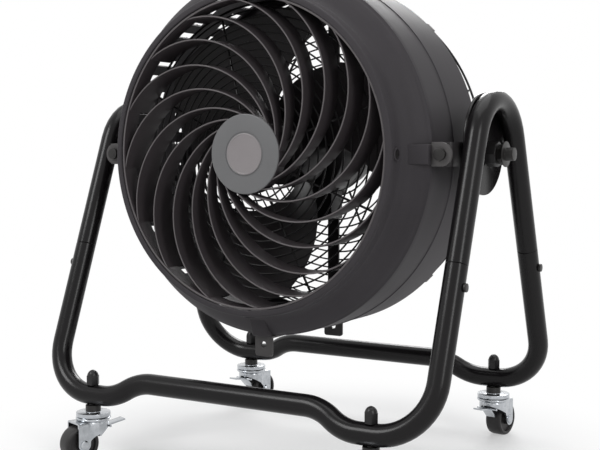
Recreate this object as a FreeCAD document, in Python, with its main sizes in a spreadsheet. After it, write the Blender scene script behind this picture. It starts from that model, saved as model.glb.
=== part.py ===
"""Floor-standing drum fan: a round plastic housing that tilts on a bent-tube stand with four braked casters.

Millimetres, +Z up. The origin is on the floor under the middle of the stand, and the fan blows towards -Y.
"""
import FreeCAD, Part
import os
import re

import Sketcher

Vector = FreeCAD.Vector
Rotation = FreeCAD.Rotation
doc = FreeCAD.newDocument("drum_fan")

# Driving sizes, in millimetres or degrees. A row that starts with = is worked out from other rows.
SIZES = (
    ("overrun", 2.0, "how far a cut runs past the piece it cuts"),
    ("running_gap", 0.3, "clearance between pieces that move past each other"),
    ("slip_fit", 0.05, "radial clearance of a pin, sleeve or shaft in its hole"),
    ("tube_od", 28.0, "stand tube, outside diameter"),
    ("tube_wall", 1.8, "stand tube, wall"),
    ("lean_angle", 20.54, "lean of the legs from upright"),
    ("pivot_height", 420.0, "floor to the tilt axis, which is also the height of the fan's axis"),
    ("leg_spread", 73.9, "tilt axis to a leg's centreline, at the height of the axis"),
    ("hoop_bend", 70.0, "centreline radius of the hoop's top"),
    ("corner_bend", 70.0, "centreline radius of a lower corner"),
    ("offset_bend", 70.0, "centreline radius of the two bends that lift the middle bar"),
    ("bar_rise", 24.0, "lift of the middle bar over the caster seats, along the leaning frame"),
    ("dip_length", 22.5, "straight caster seat between the corner and the offset bend"),
    ("caster_setback", 5.5, "end of the corner bend to the caster's stem"),
    ("splice_height", 288.5, "floor to the joint of hoop and lower frame"),
    ("sleeve_length", 80.0, "splice sleeve, length"),
    ("sleeve_wall", 2.0, "splice sleeve, wall"),
    ("splice_screw_drop", 25.5, "splice joint down to its screw"),
    ("splice_screw_diameter", 6.0, "splice screw, shank"),
    ("splice_screw_length", 16.0, "splice screw, shank length"),
    ("splice_head_diameter", 11.0, "splice screw, button head"),
    ("splice_head_height", 3.5, "splice screw, height of the head"),
    ("caster_height", 75.4, "floor to the underside of the stand tube"),
    ("front_caster_turn", 20.0, "swivel of the front casters from straight ahead at rest"),
    ("rear_caster_turn", 8.0, "swivel of the rear casters from straight back at rest"),
    ("wheel_diameter", 50.0, "caster wheel"),
    ("wheel_width", 24.0, "caster wheel, tread"),
    ("wheel_round", 3.0, "caster wheel, rounding of the tread's edges"),
    ("wheel_recess", 3.0, "caster wheel, depth of the web below the tread's sides"),
    ("wheel_rim", 6.0, "caster wheel, thickness of tread and rim"),
    ("wheel_hub_radius", 8.0, "caster wheel, hub"),
    ("wheel_trail", 22.0, "swivel axis to the wheel's axle"),
    ("axle_diameter", 8.0, "caster axle"),
    ("axle_head_radius", 6.5, "caster axle, riveted head"),
    ("axle_head_height", 2.5, "caster axle, height of the head"),
    ("fork_gap", 27.0, "between the fork's cheeks"),
    ("fork_plate", 2.5, "fork, sheet thickness"),
    ("fork_reach", 22.0, "swivel axis to the fork's front edge"),
    ("fork_boss", 9.0, "fork, radius of the eye round the axle"),
    ("fork_front_depth", 13.0, "fork, height of its front edge"),
    ("fork_arch", 44.0, "fork, radius of the arch over the wheel"),
    ("wheel_headroom", 3.0, "wheel to the fork's crown"),
    ("race_radius", 24.0, "swivel race, outside"),
    ("race_lower", 4.5, "swivel race, height of the ring on the fork"),
    ("race_split", 0.5, "swivel race, gap between its rings"),
    ("race_upper", 5.5, "swivel race, height of the ring on the stem"),
    ("collar_radius", 10.5, "caster stem, collar under the tube"),
    ("stem_diameter", 10.0, "caster stem"),
    ("stem_thread", 12.0, "caster stem, length above the tube"),
    ("kingpin_head_radius", 7.0, "caster stem, riveted head under the fork's crown"),
    ("kingpin_head_height", 2.0, "caster stem, height of that head"),
    ("cap_nut_flats", 15.5, "cap nut, across flats"),
    ("cap_nut_hex", 12.5, "cap nut, height of the hexagon"),
    ("cap_nut_height", 20.5, "cap nut, whole height"),
    ("pedal_length", 46.0, "swivel axis to the tip of the brake pedal"),
    ("pedal_width", 14.0, "brake pedal"),
    ("pedal_plate", 2.2, "brake pedal, sheet thickness"),
    ("pedal_rise", 4.0, "brake pedal, lift of its tip over its pin"),
    ("pedal_pin_setback", 4.0, "fork's front edge to the pedal's pin"),
    ("pedal_pin_drop", 7.5, "fork's crown to the pedal's pin"),
    ("pedal_pin_diameter", 3.2, "brake pedal, pin"),
    ("shoe_drop", 14.0, "brake pedal, pin down to the end of its shoe"),
    ("shoe_reach", 13.2, "brake pedal, pin to the end of its shoe, towards the wheel"),
    ("plate_rise", 13.0, "tilt axis to the middle of the pivot plate"),
    ("plate_lap", 1.36, "pivot plate, how far its edge passes the legs' centrelines"),
    ("plate_radius", "=(leg_spread - plate_rise * tan(lean_angle)) * cos(lean_angle) + plate_lap",
     "pivot plate"),
    ("plate_thick", 4.0, "pivot plate, thickness"),
    ("pivot_bolt_diameter", 12.0, "pivot bolt"),
    ("pivot_head_flats", 19.0, "pivot bolt, head across flats"),
    ("pivot_head_height", 7.5, "pivot bolt, height of the head"),
    ("friction_washer_radius", 20.0, "friction washer between bracket and pivot plate"),
    ("friction_washer_thick", 2.2, "friction washer, thickness"),
    ("knob_flats", 30.0, "tilt clamp knob, across its eight flats"),
    ("knob_length", 15.0, "tilt clamp knob, length of the grip"),
    ("knob_neck_radius", 11.5, "tilt clamp knob, neck"),
    ("knob_neck_length", 3.2, "tilt clamp knob, length of the neck"),
    ("lock_nut_flats", 22.0, "lock nut outside the knob, across flats"),
    ("lock_nut_height", 8.0, "lock nut, height"),
    ("end_washer_radius", 16.5, "washer outside the lock nut"),
    ("end_washer_thick", 1.6, "washer, thickness"),
    ("end_cap_radius", 8.5, "bolt's end cap"),
    ("end_cap_length", 11.0, "bolt's end cap, length"),
    ("bracket_half_length", 94.0, "tilt axis to the outer face of a pivot bracket's flange"),
    ("bracket_width", 30.0, "pivot bracket, and the lugs that it bolts to"),
    ("bracket_plate", 4.0, "pivot bracket, sheet thickness"),
    ("bracket_depth", 21.5, "pivot bracket, depth of its flanges"),
    ("bracket_bend", 6.0, "pivot bracket, outside radius of its bends"),
    ("lug_reach", 12.7, "lug, from the housing's rear edge out to the middle of its hole"),
    ("lug_hole_radius", "=drum_radius + lug_reach", "fan's axis to the middle of a lug's hole"),
    ("lug_hole_diameter", 8.5, "lug hole, clear of an M8 bolt"),
    ("bracket_hole_edge", 13.0, "pivot bracket, from its bolt holes to its outer face"),
    ("lug_plate", 4.0, "lug, sheet thickness"),
    ("free_lug_width", 27.0, "front lug that carries no bracket"),
    ("free_lug_end", 16.0, "front lug that carries no bracket, from its hole to its end"),
    ("lug_corner", 4.0, "square lug ends, rounding of their corners"),
    ("lug_foot_length", 36.0, "lug, length of the foot on the housing"),
    ("lug_foot_thick", 3.0, "lug, thickness of the foot"),
    ("bolt_diameter", 8.0, "bracket bolt"),
    ("bolt_head_radius", 7.7, "bracket bolt, round head"),
    ("bolt_head_height", 5.0, "bracket bolt, height of the head"),
    ("bolt_nut_flats", 13.0, "bracket bolt's nut, across flats"),
    ("bolt_nut_height", 6.5, "bracket bolt's nut, height"),
    ("drum_radius", 244.3, "housing, outside at the rear edge"),
    ("drum_flare", 30.7, "housing, how much wider its rear edge is than its front rim, on each side"),
    ("rim_radius", "=drum_radius - drum_flare", "housing, outside of the front rim"),
    ("drum_front", 145.0, "tilt axis to the housing's front edge"),
    ("drum_rear", 52.0, "tilt axis to the housing's rear edge"),
    ("drum_wall", 3.0, "housing, wall"),
    ("rim_lip", 8.6, "housing, width of the front rim"),
    ("rear_lip", 20.0, "housing, width of the rear rim, turned inwards"),
    ("seam_height", 1.2, "housing, height of the two moulded seam ridges"),
    ("seam_width", 3.0, "housing, width of the seam ridges"),
    ("boss_rise", 31.2, "lug boss, height of its flat top over the front rim"),
    ("boss_top", "=rim_radius + boss_rise", "fan's axis to the flat top of a lug boss"),
    ("boss_width", 25.0, "lug boss"),
    ("boss_front", 118.0, "tilt axis to the front end of a lug boss"),
    ("slot_width", 10.5, "air slot"),
    ("slot_front", 74.0, "tilt axis to the front end of the front row of slots"),
    ("slot_front_end", 18.0, "tilt axis to the rear end of the front row"),
    ("slot_rear", 18.0, "tilt axis to the front end of the rear row"),
    ("slot_rear_end", 44.0, "tilt axis to the rear end of the rear row"),
    ("slot_span", 126.0, "angle that a row of slots spans on the left side"),
    ("grille_fit", 0.4, "front grille, gap between its ring and the housing's rim"),
    ("grille_radius", "=rim_radius - rim_lip - grille_fit", "front grille, outside of its ring"),
    ("grille_ring_wall", 3.2, "front grille, wall of its ring"),
    ("grille_front", 142.5, "tilt axis to the front edge of the grille's ring"),
    ("vane_front", 141.0, "tilt axis to the front edges of the vanes"),
    ("vane_thick", 2.4, "grille vane, thickness"),
    ("vane_depth_hub", 16.0, "grille vane, depth at the hub"),
    ("vane_depth_rim", 46.0, "grille vane, depth at the ring"),
    ("vane_bearing", 141.6, "angle of the first vane's centre, anticlockwise from the right"),
    ("hub_radius", 52.4, "front grille, hub"),
    ("sweep_beyond", 10.0, "grille vane, how far the circle of its sweep reaches outside the ring"),
    ("sweep_within", 10.2, "grille vane, how far the circle of its sweep passes inside the hub's edge"),
    ("vane_arc", "=(grille_radius + sweep_beyond + hub_radius - sweep_within) / 2",
     "grille vane, radius of its sweep"),
    ("vane_offset", "=grille_radius + sweep_beyond - vane_arc", "fan's axis to the centre of a vane's sweep"),
    ("hub_wall", 2.5, "front grille, wall of the hub's cup"),
    ("hub_proud", 0.6, "front grille, hub in front of the vanes"),
    ("cup_proud", 1.4, "front grille, hub behind the vanes' roots"),
    ("ring_depth", 25.5, "front grille, depth of its ring"),
    ("hub_cap_thick", 2.0, "hub cap"),
    ("badge_radius", 27.2, "bare badge plate on the hub cap"),
    ("badge_thick", 1.2, "badge plate, thickness"),
    ("grille_screw_setback", 14.0, "housing's front edge to the grille screws"),
    ("grille_screw_diameter", 4.5, "grille screw, shank"),
    ("grille_head_radius", 4.5, "grille screw, head"),
    ("grille_head_height", 2.6, "grille screw, height of the head"),
    ("screw_recess_radius", 8.5, "round recess for a grille screw in the housing"),
    ("ring_wire", 2.4, "guard ring wire"),
    ("stay_wire", 3.2, "guard stay wire"),
    ("weld_gap", 0.05, "between a guard's rings and stays"),
    ("guard_gap", 0.6, "between the vanes' rear edges and the front guard"),
    ("stay_bearing", 21.0, "angle of the front guard's first stay, anticlockwise from the right"),
    ("front_ring_pitch", 11.0, "front guard, ring to ring"),
    ("front_ring_first", 62.0, "front guard, radius of its inmost ring"),
    ("front_ring_margin", 10.6, "front guard, from its outmost ring to the outside of the grille"),
    ("front_ring_last", "=grille_radius - front_ring_margin", "front guard, radius of its outmost ring"),
    ("rear_ring_pitch", 12.0, "rear guard, ring to ring"),
    ("rear_ring_first", 62.0, "rear guard, radius of its inmost ring"),
    ("guard_inset", 12.8, "rear guard, from the housing's rear edge in to its rim wire"),
    ("rear_rim_radius", "=drum_radius - guard_inset", "rear guard, radius of its rim wire"),
    ("rear_ring_margin", 13.5, "rear guard, from its outmost flat ring to its rim wire"),
    ("rear_ring_last", "=rear_rim_radius - rear_ring_margin", "rear guard, radius of its outmost flat ring"),
    ("frame_plane", 94.0, "tilt axis to the front face of the motor frame"),
    ("frame_thick", 4.0, "motor frame, plate thickness"),
    ("frame_disc_radius", 56.0, "motor frame, middle disc"),
    ("frame_arm_width", 18.0, "motor frame, arm"),
    ("frame_bore_radius", 16.0, "motor frame, hole for the leads"),
    ("standoff_radius", 5.5, "standoff between housing and motor frame"),
    ("standoff_inset", 5.7, "standoff, from the housing's rear edge in to its middle"),
    ("standoff_place", "=drum_radius - standoff_inset", "fan's axis to a standoff"),
    ("guard_bend", 3.0, "rear guard, bend of a stay into its leg"),
    ("guard_foot", 2.6, "housing's rear rim to the middle of the rear guard's foot ring"),
    ("side_ring_pitch", 14.0, "rear guard, spacing of the side rings"),
    ("clip_width", 14.0, "guard clip"),
    ("clip_reach", 14.5, "guard clip, from the tip of its hook to its outer end"),
    ("clip_wall", 2.0, "guard clip, sheet thickness"),
    ("motor_radius", 55.0, "motor, outside"),
    ("motor_wall", 2.5, "motor shell, wall"),
    ("motor_front", 22.0, "tilt axis to the front face of the motor"),
    ("motor_cap", 8.0, "motor end cap, thickness"),
    ("bearing_radius", 16.0, "motor bearing, outside"),
    ("bearing_width", 9.0, "motor bearing"),
    ("bearing_seat", 3.0, "wall round a bearing in its end cap"),
    ("shaft_diameter", 14.0, "motor shaft"),
    ("stator_length", 30.0, "stator core"),
    ("stator_bore", 30.0, "stator core, bore radius"),
    ("air_gap", 0.6, "stator to rotor"),
    ("winding_height", 9.0, "end turns beyond the stator core"),
    ("winding_wall", 12.0, "end turns, radial thickness"),
    ("capacitor_width", 41.0, "capacitor box under the motor"),
    ("capacitor_height", 40.0, "capacitor box, height"),
    ("capacitor_length", 34.0, "capacitor box, length along the axis"),
    ("control_radius", 46.0, "control housing behind the motor frame"),
    ("control_length", 36.0, "control housing, length"),
    ("control_wall", 2.5, "control housing, wall"),
    ("speed_knob_radius", 15.0, "speed knob"),
    ("speed_knob_tip", 13.5, "speed knob, radius of its outer end"),
    ("speed_knob_length", 16.0, "speed knob, length"),
    ("switch_shaft_radius", 3.0, "speed switch, spindle"),
    ("switch_half", 13.0, "speed switch, half the side of its body"),
    ("switch_length", 18.0, "speed switch, depth of its body"),
    ("gland_radius", 8.0, "cord gland"),
    ("gland_length", 15.0, "cord gland, length outside the housing"),
    ("gland_bore_radius", 3.6, "cord gland, bore"),
    ("blade_radius", "=rim_radius - rim_lip", "fan wheel, tip radius, which just passes the front rim"),
    ("blade_thick", 2.6, "fan blade"),
    ("blade_front", 70.0, "tilt axis to a blade's front edge"),
    ("blade_rear", 8.0, "tilt axis to a blade's rear edge, behind it"),
    ("blade_camber", 7.0, "fan blade, depth of its hollow"),
    ("blade_bearing", -11.0, "angle of the middle of the first blade at its tip"),
    ("blade_half_angle", 40.0, "half the angle that a blade covers"),
    ("blade_sweep", 68.0, "how far a blade's root is turned ahead of its tip"),
    ("wheel_hub", 42.0, "fan wheel, hub radius"),
    ("hub_front", 62.0, "tilt axis to the front of the fan wheel's hub"),
    ("hub_rear", 4.0, "tilt axis to the rear of that hub, behind it"),
    ("hub_shell", 5.0, "fan wheel, wall of its hub"),
    ("hub_core", 16.0, "fan wheel, radius of the hub's core round the shaft"),
    ("hub_nut_flats", 24.0, "fan wheel's nut, across flats"),
    ("hub_nut_height", 11.0, "fan wheel's nut, height"),
    ("hub_nut_crown", 2.2, "fan wheel's nut, closed end over the shaft"),
    ("pivot_stack", "=bracket_hole_edge + friction_washer_thick + running_gap + plate_thick",
     "middle of a bracket's bolt holes to the stand tube"),
    ("hoop_half_span", "=lug_hole_radius + pivot_stack + tube_od / 2",
     "middle of the stand to a hoop's centreline"),
)
VANES = 16
BLADES = 3
STAYS = 8
SLOTS = 22
LUGS = 4

sheet = doc.addObject("Spreadsheet::Sheet", "Sizes")
for row, (name, size, note) in enumerate(SIZES, 1):
    sheet.set(f"A{row}", note)
    sheet.set(f"B{row}", str(size))
    sheet.setAlias(f"B{row}", name)
doc.recompute()
NAMES = {name for name, size, note in SIZES}
nodes = []


def sized(text):
    """Writes the sheet's name before each size named in an expression."""
    return re.sub(r"[a-z_]+", lambda word: f"Sizes.{word[0]}" if word[0] in NAMES else word[0], text)


def value(text):
    """Works an expression in the sheet's sizes out as a number."""
    return float(sheet.evalExpression(sized(text)))


def bind(thing, **expressions):
    """Binds properties of a document object to expressions in the sheet's sizes."""
    for name, text in expressions.items():
        thing.setExpression(name, sized(text))


def place(thing, x="0", y="0", z="0", axis=None, angle="0"):
    """Binds an object's place, and its turn about an axis if it has one."""
    if axis:
        thing.Placement.Rotation = Rotation(axis, 0)
        thing.setExpression(".Placement.Rotation.Angle", sized(angle))
    for name, text in zip("xyz", (x, y, z)):
        if text != "0":
            thing.setExpression(f".Placement.Base.{name}", sized(text))
    return thing


def node(thing, label):
    """Names a finished sub-part, which goes to a file of that name."""
    thing.Label = label
    nodes.append(thing)
    return thing


TURNS = {"X": Rotation(Vector(0, 1, 0), 90), "Y": Rotation(Vector(1, 0, 0), -90), "Z": Rotation()}


def rod(radius, length, along, x="0", y="0", z="0"):
    """A cylinder that starts at a point and runs along +X, +Y or +Z."""
    thing = doc.addObject("Part::Cylinder", "rod")
    bind(thing, Radius=radius, Height=length)
    thing.Placement.Rotation = TURNS[along]
    return place(thing, x, y, z)


def prism(sides, flats, length, along, x="0", y="0", z="0"):
    """A bar of a regular section, given across its flats."""
    thing = doc.addObject("Part::Prism", "prism")
    thing.Polygon = sides
    bind(thing, Circumradius=f"({flats}) / 2 / cos(180 / {sides})", Height=length)
    thing.Placement.Rotation = TURNS[along]
    return place(thing, x, y, z)


def group(things):
    """Several pieces that share one node, or several tools of one cut."""
    whole = doc.addObject("Part::Compound", "group")
    whole.Links = things
    return whole


def cut(base, *tools):
    """A piece with the space of some tools taken out of it."""
    whole = doc.addObject("Part::Cut", "cut")
    whole.Base = base
    whole.Tool = tools[0] if len(tools) == 1 else group(list(tools))
    return whole


def fuse(*things):
    """Several solids joined into one."""
    whole = doc.addObject("Part::MultiFuse", "fuse")
    whole.Shapes = list(things)
    return whole


def outward(side, start, length):
    """Where a rod along +X starts so that it covers a stretch of the right or of the left side."""
    return start if side > 0 else f"-({start}) - ({length})"


def new_body():
    return doc.addObject("PartDesign::Body", "body")


def origin(body, role):
    """A plane or an axis of a body's own origin."""
    return next(part for part in body.Origin.OriginFeatures if part.Role == role)


def sketch_on(body, plane):
    sketch = body.newObject("Sketcher::SketchObject", "sketch")
    sketch.AttachmentSupport = (origin(body, plane), [""])
    sketch.MapMode = "FlatFace"
    return sketch


def pin(sketch, geometry, point, x, y):
    """Binds a point of a sketch to a place."""
    for kind, text in (("DistanceX", x), ("DistanceY", y)):
        number = sketch.addConstraint(Sketcher.Constraint(kind, -1, 1, geometry, point, value(text)))
        sketch.setExpression(f"Constraints[{number}]", sized(text))


def size_radius(sketch, geometry, radius):
    number = sketch.addConstraint(Sketcher.Constraint("Radius", geometry, value(radius)))
    sketch.setExpression(f"Constraints[{number}]", sized(radius))


def chain(sketch, points, closed=True):
    """Lines and arcs end to end. A point (x, y, radius, turn) is reached by an arc, left if turn is 1."""
    count = len(points)
    ends = []
    for index in range(count if closed else count - 1):
        here, there = points[index], points[(index + 1) % count]
        start, end = (Vector(value(point[0]), value(point[1]), 0) for point in (here, there))
        if len(there) == 2:
            number = sketch.addGeometry(Part.LineSegment(start, end))
            ends.append((number, 1, 2))
            continue
        radius, turn = value(there[2]), there[3]
        chord = end - start
        rise = max(radius ** 2 - (chord.Length / 2) ** 2, 0) ** 0.5
        centre = (start + end) / 2 + Vector(-chord.y, chord.x, 0).normalize() * rise * turn
        first, last = (start, end) if turn > 0 else (end, start)
        circle = Part.Circle(centre, Vector(0, 0, 1), radius)
        arc = Part.ArcOfCircle(circle, circle.parameter(first), circle.parameter(last))
        number = sketch.addGeometry(arc)
        size_radius(sketch, number, there[2])
        ends.append((number, 1, 2) if turn > 0 else (number, 2, 1))
    for index, (number, start, end) in enumerate(ends):
        pin(sketch, number, start, *points[index][:2])
        if closed or index + 1 < len(ends):
            after = ends[(index + 1) % len(ends)]
            sketch.addConstraint(Sketcher.Constraint("Coincident", number, end, after[0], after[1]))
        else:
            pin(sketch, number, end, *points[-1][:2])
    return sketch


def circle_in(sketch, radius, x="0", y="0"):
    """A circle in a sketch, bound to its radius and place."""
    number = sketch.addGeometry(Part.Circle(Vector(value(x), value(y), 0), Vector(0, 0, 1), value(radius)))
    pin(sketch, number, 3, x, y)
    size_radius(sketch, number, radius)
    return sketch


def rectangle(sketch, left, low, right, high):
    return chain(sketch, [(left, low), (right, low), (right, high), (left, high)])


def turned(body, plane, points):
    """A piece turned about the second axis of its sketch, from points (radius, place)."""
    sketch = chain(sketch_on(body, plane), points)
    feature = body.newObject("PartDesign::Revolution", "turned")
    feature.Profile = sketch
    feature.ReferenceAxis = (sketch, ["V_Axis"])
    feature.Angle = 360
    return body


def padded(body, sketch, length):
    """A pad of a sketch, half of it to each side."""
    feature = body.newObject("PartDesign::Pad", "pad")
    feature.Profile = sketch
    feature.SideType = "Symmetric"
    bind(feature, Length=length)
    return feature


def pocketed(body, sketch, length, both_sides):
    """A pocket of a sketch, to both sides of it or along its normal only."""
    doc.recompute()
    before = body.Shape.Volume
    feature = body.newObject("PartDesign::Pocket", "pocket")
    feature.Profile = sketch
    feature.SideType = "Symmetric" if both_sides else "One side"
    feature.Reversed = not both_sides
    bind(feature, Length=length)
    doc.recompute()
    if body.Shape.Volume >= before:
        raise RuntimeError(f"a pocket of {body.Label} cuts nothing")
    return feature


def patterned(body, feature, count, angle):
    """Copies of a feature round a body's own Y axis."""
    pattern = body.newObject("PartDesign::PolarPattern", "pattern")
    pattern.Originals = [feature]
    pattern.Axis = (origin(body, "Y_Axis"), [""])
    pattern.Occurrences = count
    if angle == "360":
        pattern.Angle = 360
    else:
        bind(pattern, Angle=angle)
    body.Tip = pattern
    return pattern


def shaped(shape):
    """A piece whose shape is worked out here from the sheet's sizes."""
    thing = doc.addObject("Part::Feature", "shaped")
    thing.Shape = shape
    return thing


# Places that several pieces share
DIP_HEIGHT = "(caster_height + tube_od / 2)"
FOOT_Y = f"(leg_spread + (pivot_height - {DIP_HEIGHT}) * tan(lean_angle))"
SPLICE_Y = "(leg_spread + (pivot_height - splice_height) * tan(lean_angle))"
SPLICE_RUN = f"((splice_height - {DIP_HEIGHT}) / cos(lean_angle))"
SCREW_HEIGHT = "(splice_height - splice_screw_drop)"
SCREW_Y = f"(leg_spread + (pivot_height - {SCREW_HEIGHT}) * tan(lean_angle))"
CASTER_X = "(hoop_half_span - corner_bend - caster_setback)"
TUBE_BORE = "(tube_od / 2 - tube_wall)"
HEAD = {"z": "pivot_height"}
SIDES = {"left": -1, "right": 1}
ENDS = {"front": -1, "rear": 1}


# Lower frames: one tube each, bent in a plane that leans with the legs, with a caster seat near each corner
def lower_frame(label, end):
    body = new_body()
    foot = "(hoop_half_span - corner_bend)"
    dip = f"({foot} - dip_length)"
    sway = "(acos(1 - bar_rise / (2 * offset_bend)))"
    half = f"(offset_bend * sin({sway}))"
    bar = f"({dip} - 2 * {half})"
    left = [
        ("-hoop_half_span", SPLICE_RUN),
        ("-hoop_half_span", "corner_bend"),
        (f"-{foot}", "0", "corner_bend", 1),
        (f"-{dip}", "0"),
        (f"-{dip} + {half}", "bar_rise / 2", "offset_bend", 1),
        (f"-{bar}", "bar_rise", "offset_bend", -1),
    ]
    right = [
        (bar, "bar_rise"),
        (f"{dip} - {half}", "bar_rise / 2", "offset_bend", -1),
        (dip, "0", "offset_bend", 1),
        (foot, "0"),
        ("hoop_half_span", "corner_bend", "corner_bend", 1),
        ("hoop_half_span", SPLICE_RUN),
    ]
    spine = chain(sketch_on(body, "XZ_Plane"), left + right, closed=False)
    section = sketch_on(body, "XY_Plane")
    section.setExpression("AttachmentOffset.Base.z", sized(SPLICE_RUN))
    for radius in ("tube_od / 2", TUBE_BORE):
        circle_in(section, radius, "-hoop_half_span")
    tube = body.newObject("PartDesign::AdditivePipe", "tube")
    tube.Profile = section
    tube.Spine = (spine, [f"Edge{number + 1}" for number in range(len(left + right) - 1)])
    place(body, y=f"{end} * {FOOT_Y}", z=DIP_HEIGHT, axis=Vector(1, 0, 0), angle=f"{end} * lean_angle")
    holes = []
    for side in SIDES.values():
        holes.append(rod("stem_diameter / 2 + slip_fit", "tube_od + 2 * overrun", "Z",
                         f"{side} * {CASTER_X}", f"{end} * {FOOT_Y}", "caster_height - overrun"))
        holes.append(rod("splice_screw_diameter / 2 + slip_fit", "tube_od / 2 + overrun", "X",
                         outward(side, "hoop_half_span", "tube_od / 2 + overrun"),
                         f"{end} * {SCREW_Y}", SCREW_HEIGHT))
    return node(cut(body, *holes), label)


for name, end in ENDS.items():
    lower_frame(f"{name}_lower_frame", end)


# Hoops: an upside-down V of tube on each side, whose legs stand on the lower frames
def hoop(label, side):
    body = new_body()
    centre = "(pivot_height + (leg_spread - hoop_bend / cos(lean_angle)) / tan(lean_angle))"
    shoulder_y = "(hoop_bend * cos(lean_angle))"
    shoulder_z = f"({centre} + hoop_bend * sin(lean_angle))"
    spine = chain(sketch_on(body, "YZ_Plane"), [
        (f"-{SPLICE_Y}", "splice_height"),
        (f"-{shoulder_y}", shoulder_z),
        ("0", f"{centre} + hoop_bend", "hoop_bend", -1),
        (shoulder_y, shoulder_z, "hoop_bend", -1),
        (SPLICE_Y, "splice_height"),
    ], closed=False)
    spine.setExpression("AttachmentOffset.Base.z", sized(f"{side} * hoop_half_span"))
    section = sketch_on(body, "XY_Plane")
    section.AttachmentOffset.Rotation = Rotation(Vector(1, 0, 0), 0)
    section.setExpression("AttachmentOffset.Rotation.Angle", sized("-lean_angle"))
    section.setExpression("AttachmentOffset.Base.x", sized(f"{side} * hoop_half_span"))
    section.setExpression("AttachmentOffset.Base.y", sized(f"-{SPLICE_Y}"))
    section.setExpression("AttachmentOffset.Base.z", sized("splice_height"))
    for radius in ("tube_od / 2", TUBE_BORE):
        circle_in(section, radius)
    tube = body.newObject("PartDesign::AdditivePipe", "tube")
    tube.Profile = section
    tube.Spine = (spine, ["Edge1", "Edge2", "Edge3", "Edge4"])
    return node(body, label)


for name, side in SIDES.items():
    hoop(f"{name}_hoop", side)


# Splices: a sleeve inside each joint of hoop and lower frame, held by a button-head screw from outside
def sleeve(side, end):
    pieces = []
    for radius in (f"{TUBE_BORE} - slip_fit", f"{TUBE_BORE} - slip_fit - sleeve_wall"):
        pieces.append(rod(radius, "sleeve_length", "Z"))
        place(pieces[-1], f"{side} * hoop_half_span",
              f"{end} * ({SPLICE_Y} + sleeve_length / 2 * sin(lean_angle))",
              "splice_height - sleeve_length / 2 * cos(lean_angle)", Vector(1, 0, 0), f"{end} * lean_angle")
    hole = rod("splice_screw_diameter / 2 + slip_fit", "tube_od / 2", "X",
               outward(side, "hoop_half_span", "tube_od / 2"), f"{end} * {SCREW_Y}", SCREW_HEIGHT)
    return cut(pieces[0], pieces[1], hole)


def splice_screw(side, end):
    face = "(hoop_half_span + tube_od / 2)"
    spot = (f"{end} * {SCREW_Y}", SCREW_HEIGHT)
    head = rod("splice_head_diameter / 2", "splice_head_height", "X",
               outward(side, face, "splice_head_height"), *spot)
    length = "(splice_screw_length + splice_head_height / 2)"
    shank = rod("splice_screw_diameter / 2", length, "X",
                outward(side, f"{face} - splice_screw_length", length), *spot)
    return fuse(head, shank)


corners = [(side, end) for end in ENDS.values() for side in SIDES.values()]
node(group([sleeve(side, end) for side, end in corners]), "splice_sleeves")
node(group([splice_screw(side, end) for side, end in corners]), "splice_screws")

# Casters, from the wheel up: every height follows from the wheel and the whole height of the caster
CROWN = "(wheel_diameter + wheel_headroom)"
FORK_TOP = f"({CROWN} + fork_plate)"
LOWER_RACE = f"({FORK_TOP} + race_lower)"
UPPER_RACE = f"({LOWER_RACE} + race_split + race_upper)"
PIN_X = "(fork_reach - pedal_pin_setback)"
PIN_Z = f"({CROWN} - pedal_pin_drop)"
TUBE_TOP = "(caster_height + tube_od)"


def at_caster(body, side, end, ahead="0", z="0"):
    """Puts a body at a caster, turned so that its X axis points where the wheel trails."""
    heading = "(90 - rear_caster_turn)" if end > 0 else "(270 - front_caster_turn)"
    return place(body, f"{side} * {CASTER_X} + {ahead} * cos{heading}",
                 f"{end} * {FOOT_Y} + {ahead} * sin{heading}", z, Vector(0, 0, 1), heading)


def caster_stem(side, end):
    stem = "stem_diameter / 2"
    below = f"{CROWN} - kingpin_head_height"
    race_foot = f"{LOWER_RACE} + race_split"
    return at_caster(turned(new_body(), "XZ_Plane", [
        ("0", below), ("kingpin_head_radius", below), ("kingpin_head_radius", CROWN), (stem, CROWN),
        (stem, race_foot), ("race_radius - race_split", race_foot), ("race_radius - race_split", UPPER_RACE),
        ("collar_radius", UPPER_RACE), ("collar_radius", "caster_height"), (stem, "caster_height"),
        (stem, f"{TUBE_TOP} + stem_thread"), ("0", f"{TUBE_TOP} + stem_thread"),
    ]), side, end)


def cap_nut(side, end):
    spot = (f"{side} * {CASTER_X}", f"{end} * {FOOT_Y}")
    hexagon = prism(6, "cap_nut_flats", "cap_nut_hex", "Z", *spot, TUBE_TOP)
    dome = turned(new_body(), "XZ_Plane", [
        ("0", "cap_nut_hex / 2"), ("cap_nut_flats / 2", "cap_nut_hex / 2"),
        ("cap_nut_flats / 2", "cap_nut_hex"),
        ("0", "cap_nut_height", "(cap_nut_flats / 2) + (cap_nut_height - cap_nut_hex) / 8", 1),
    ])
    place(dome, *spot, TUBE_TOP)
    bore = rod("stem_diameter / 2 + slip_fit", "stem_thread + running_gap + overrun", "Z", *spot,
               f"{TUBE_TOP} - overrun")
    return cut(fuse(hexagon, dome), bore)


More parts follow.
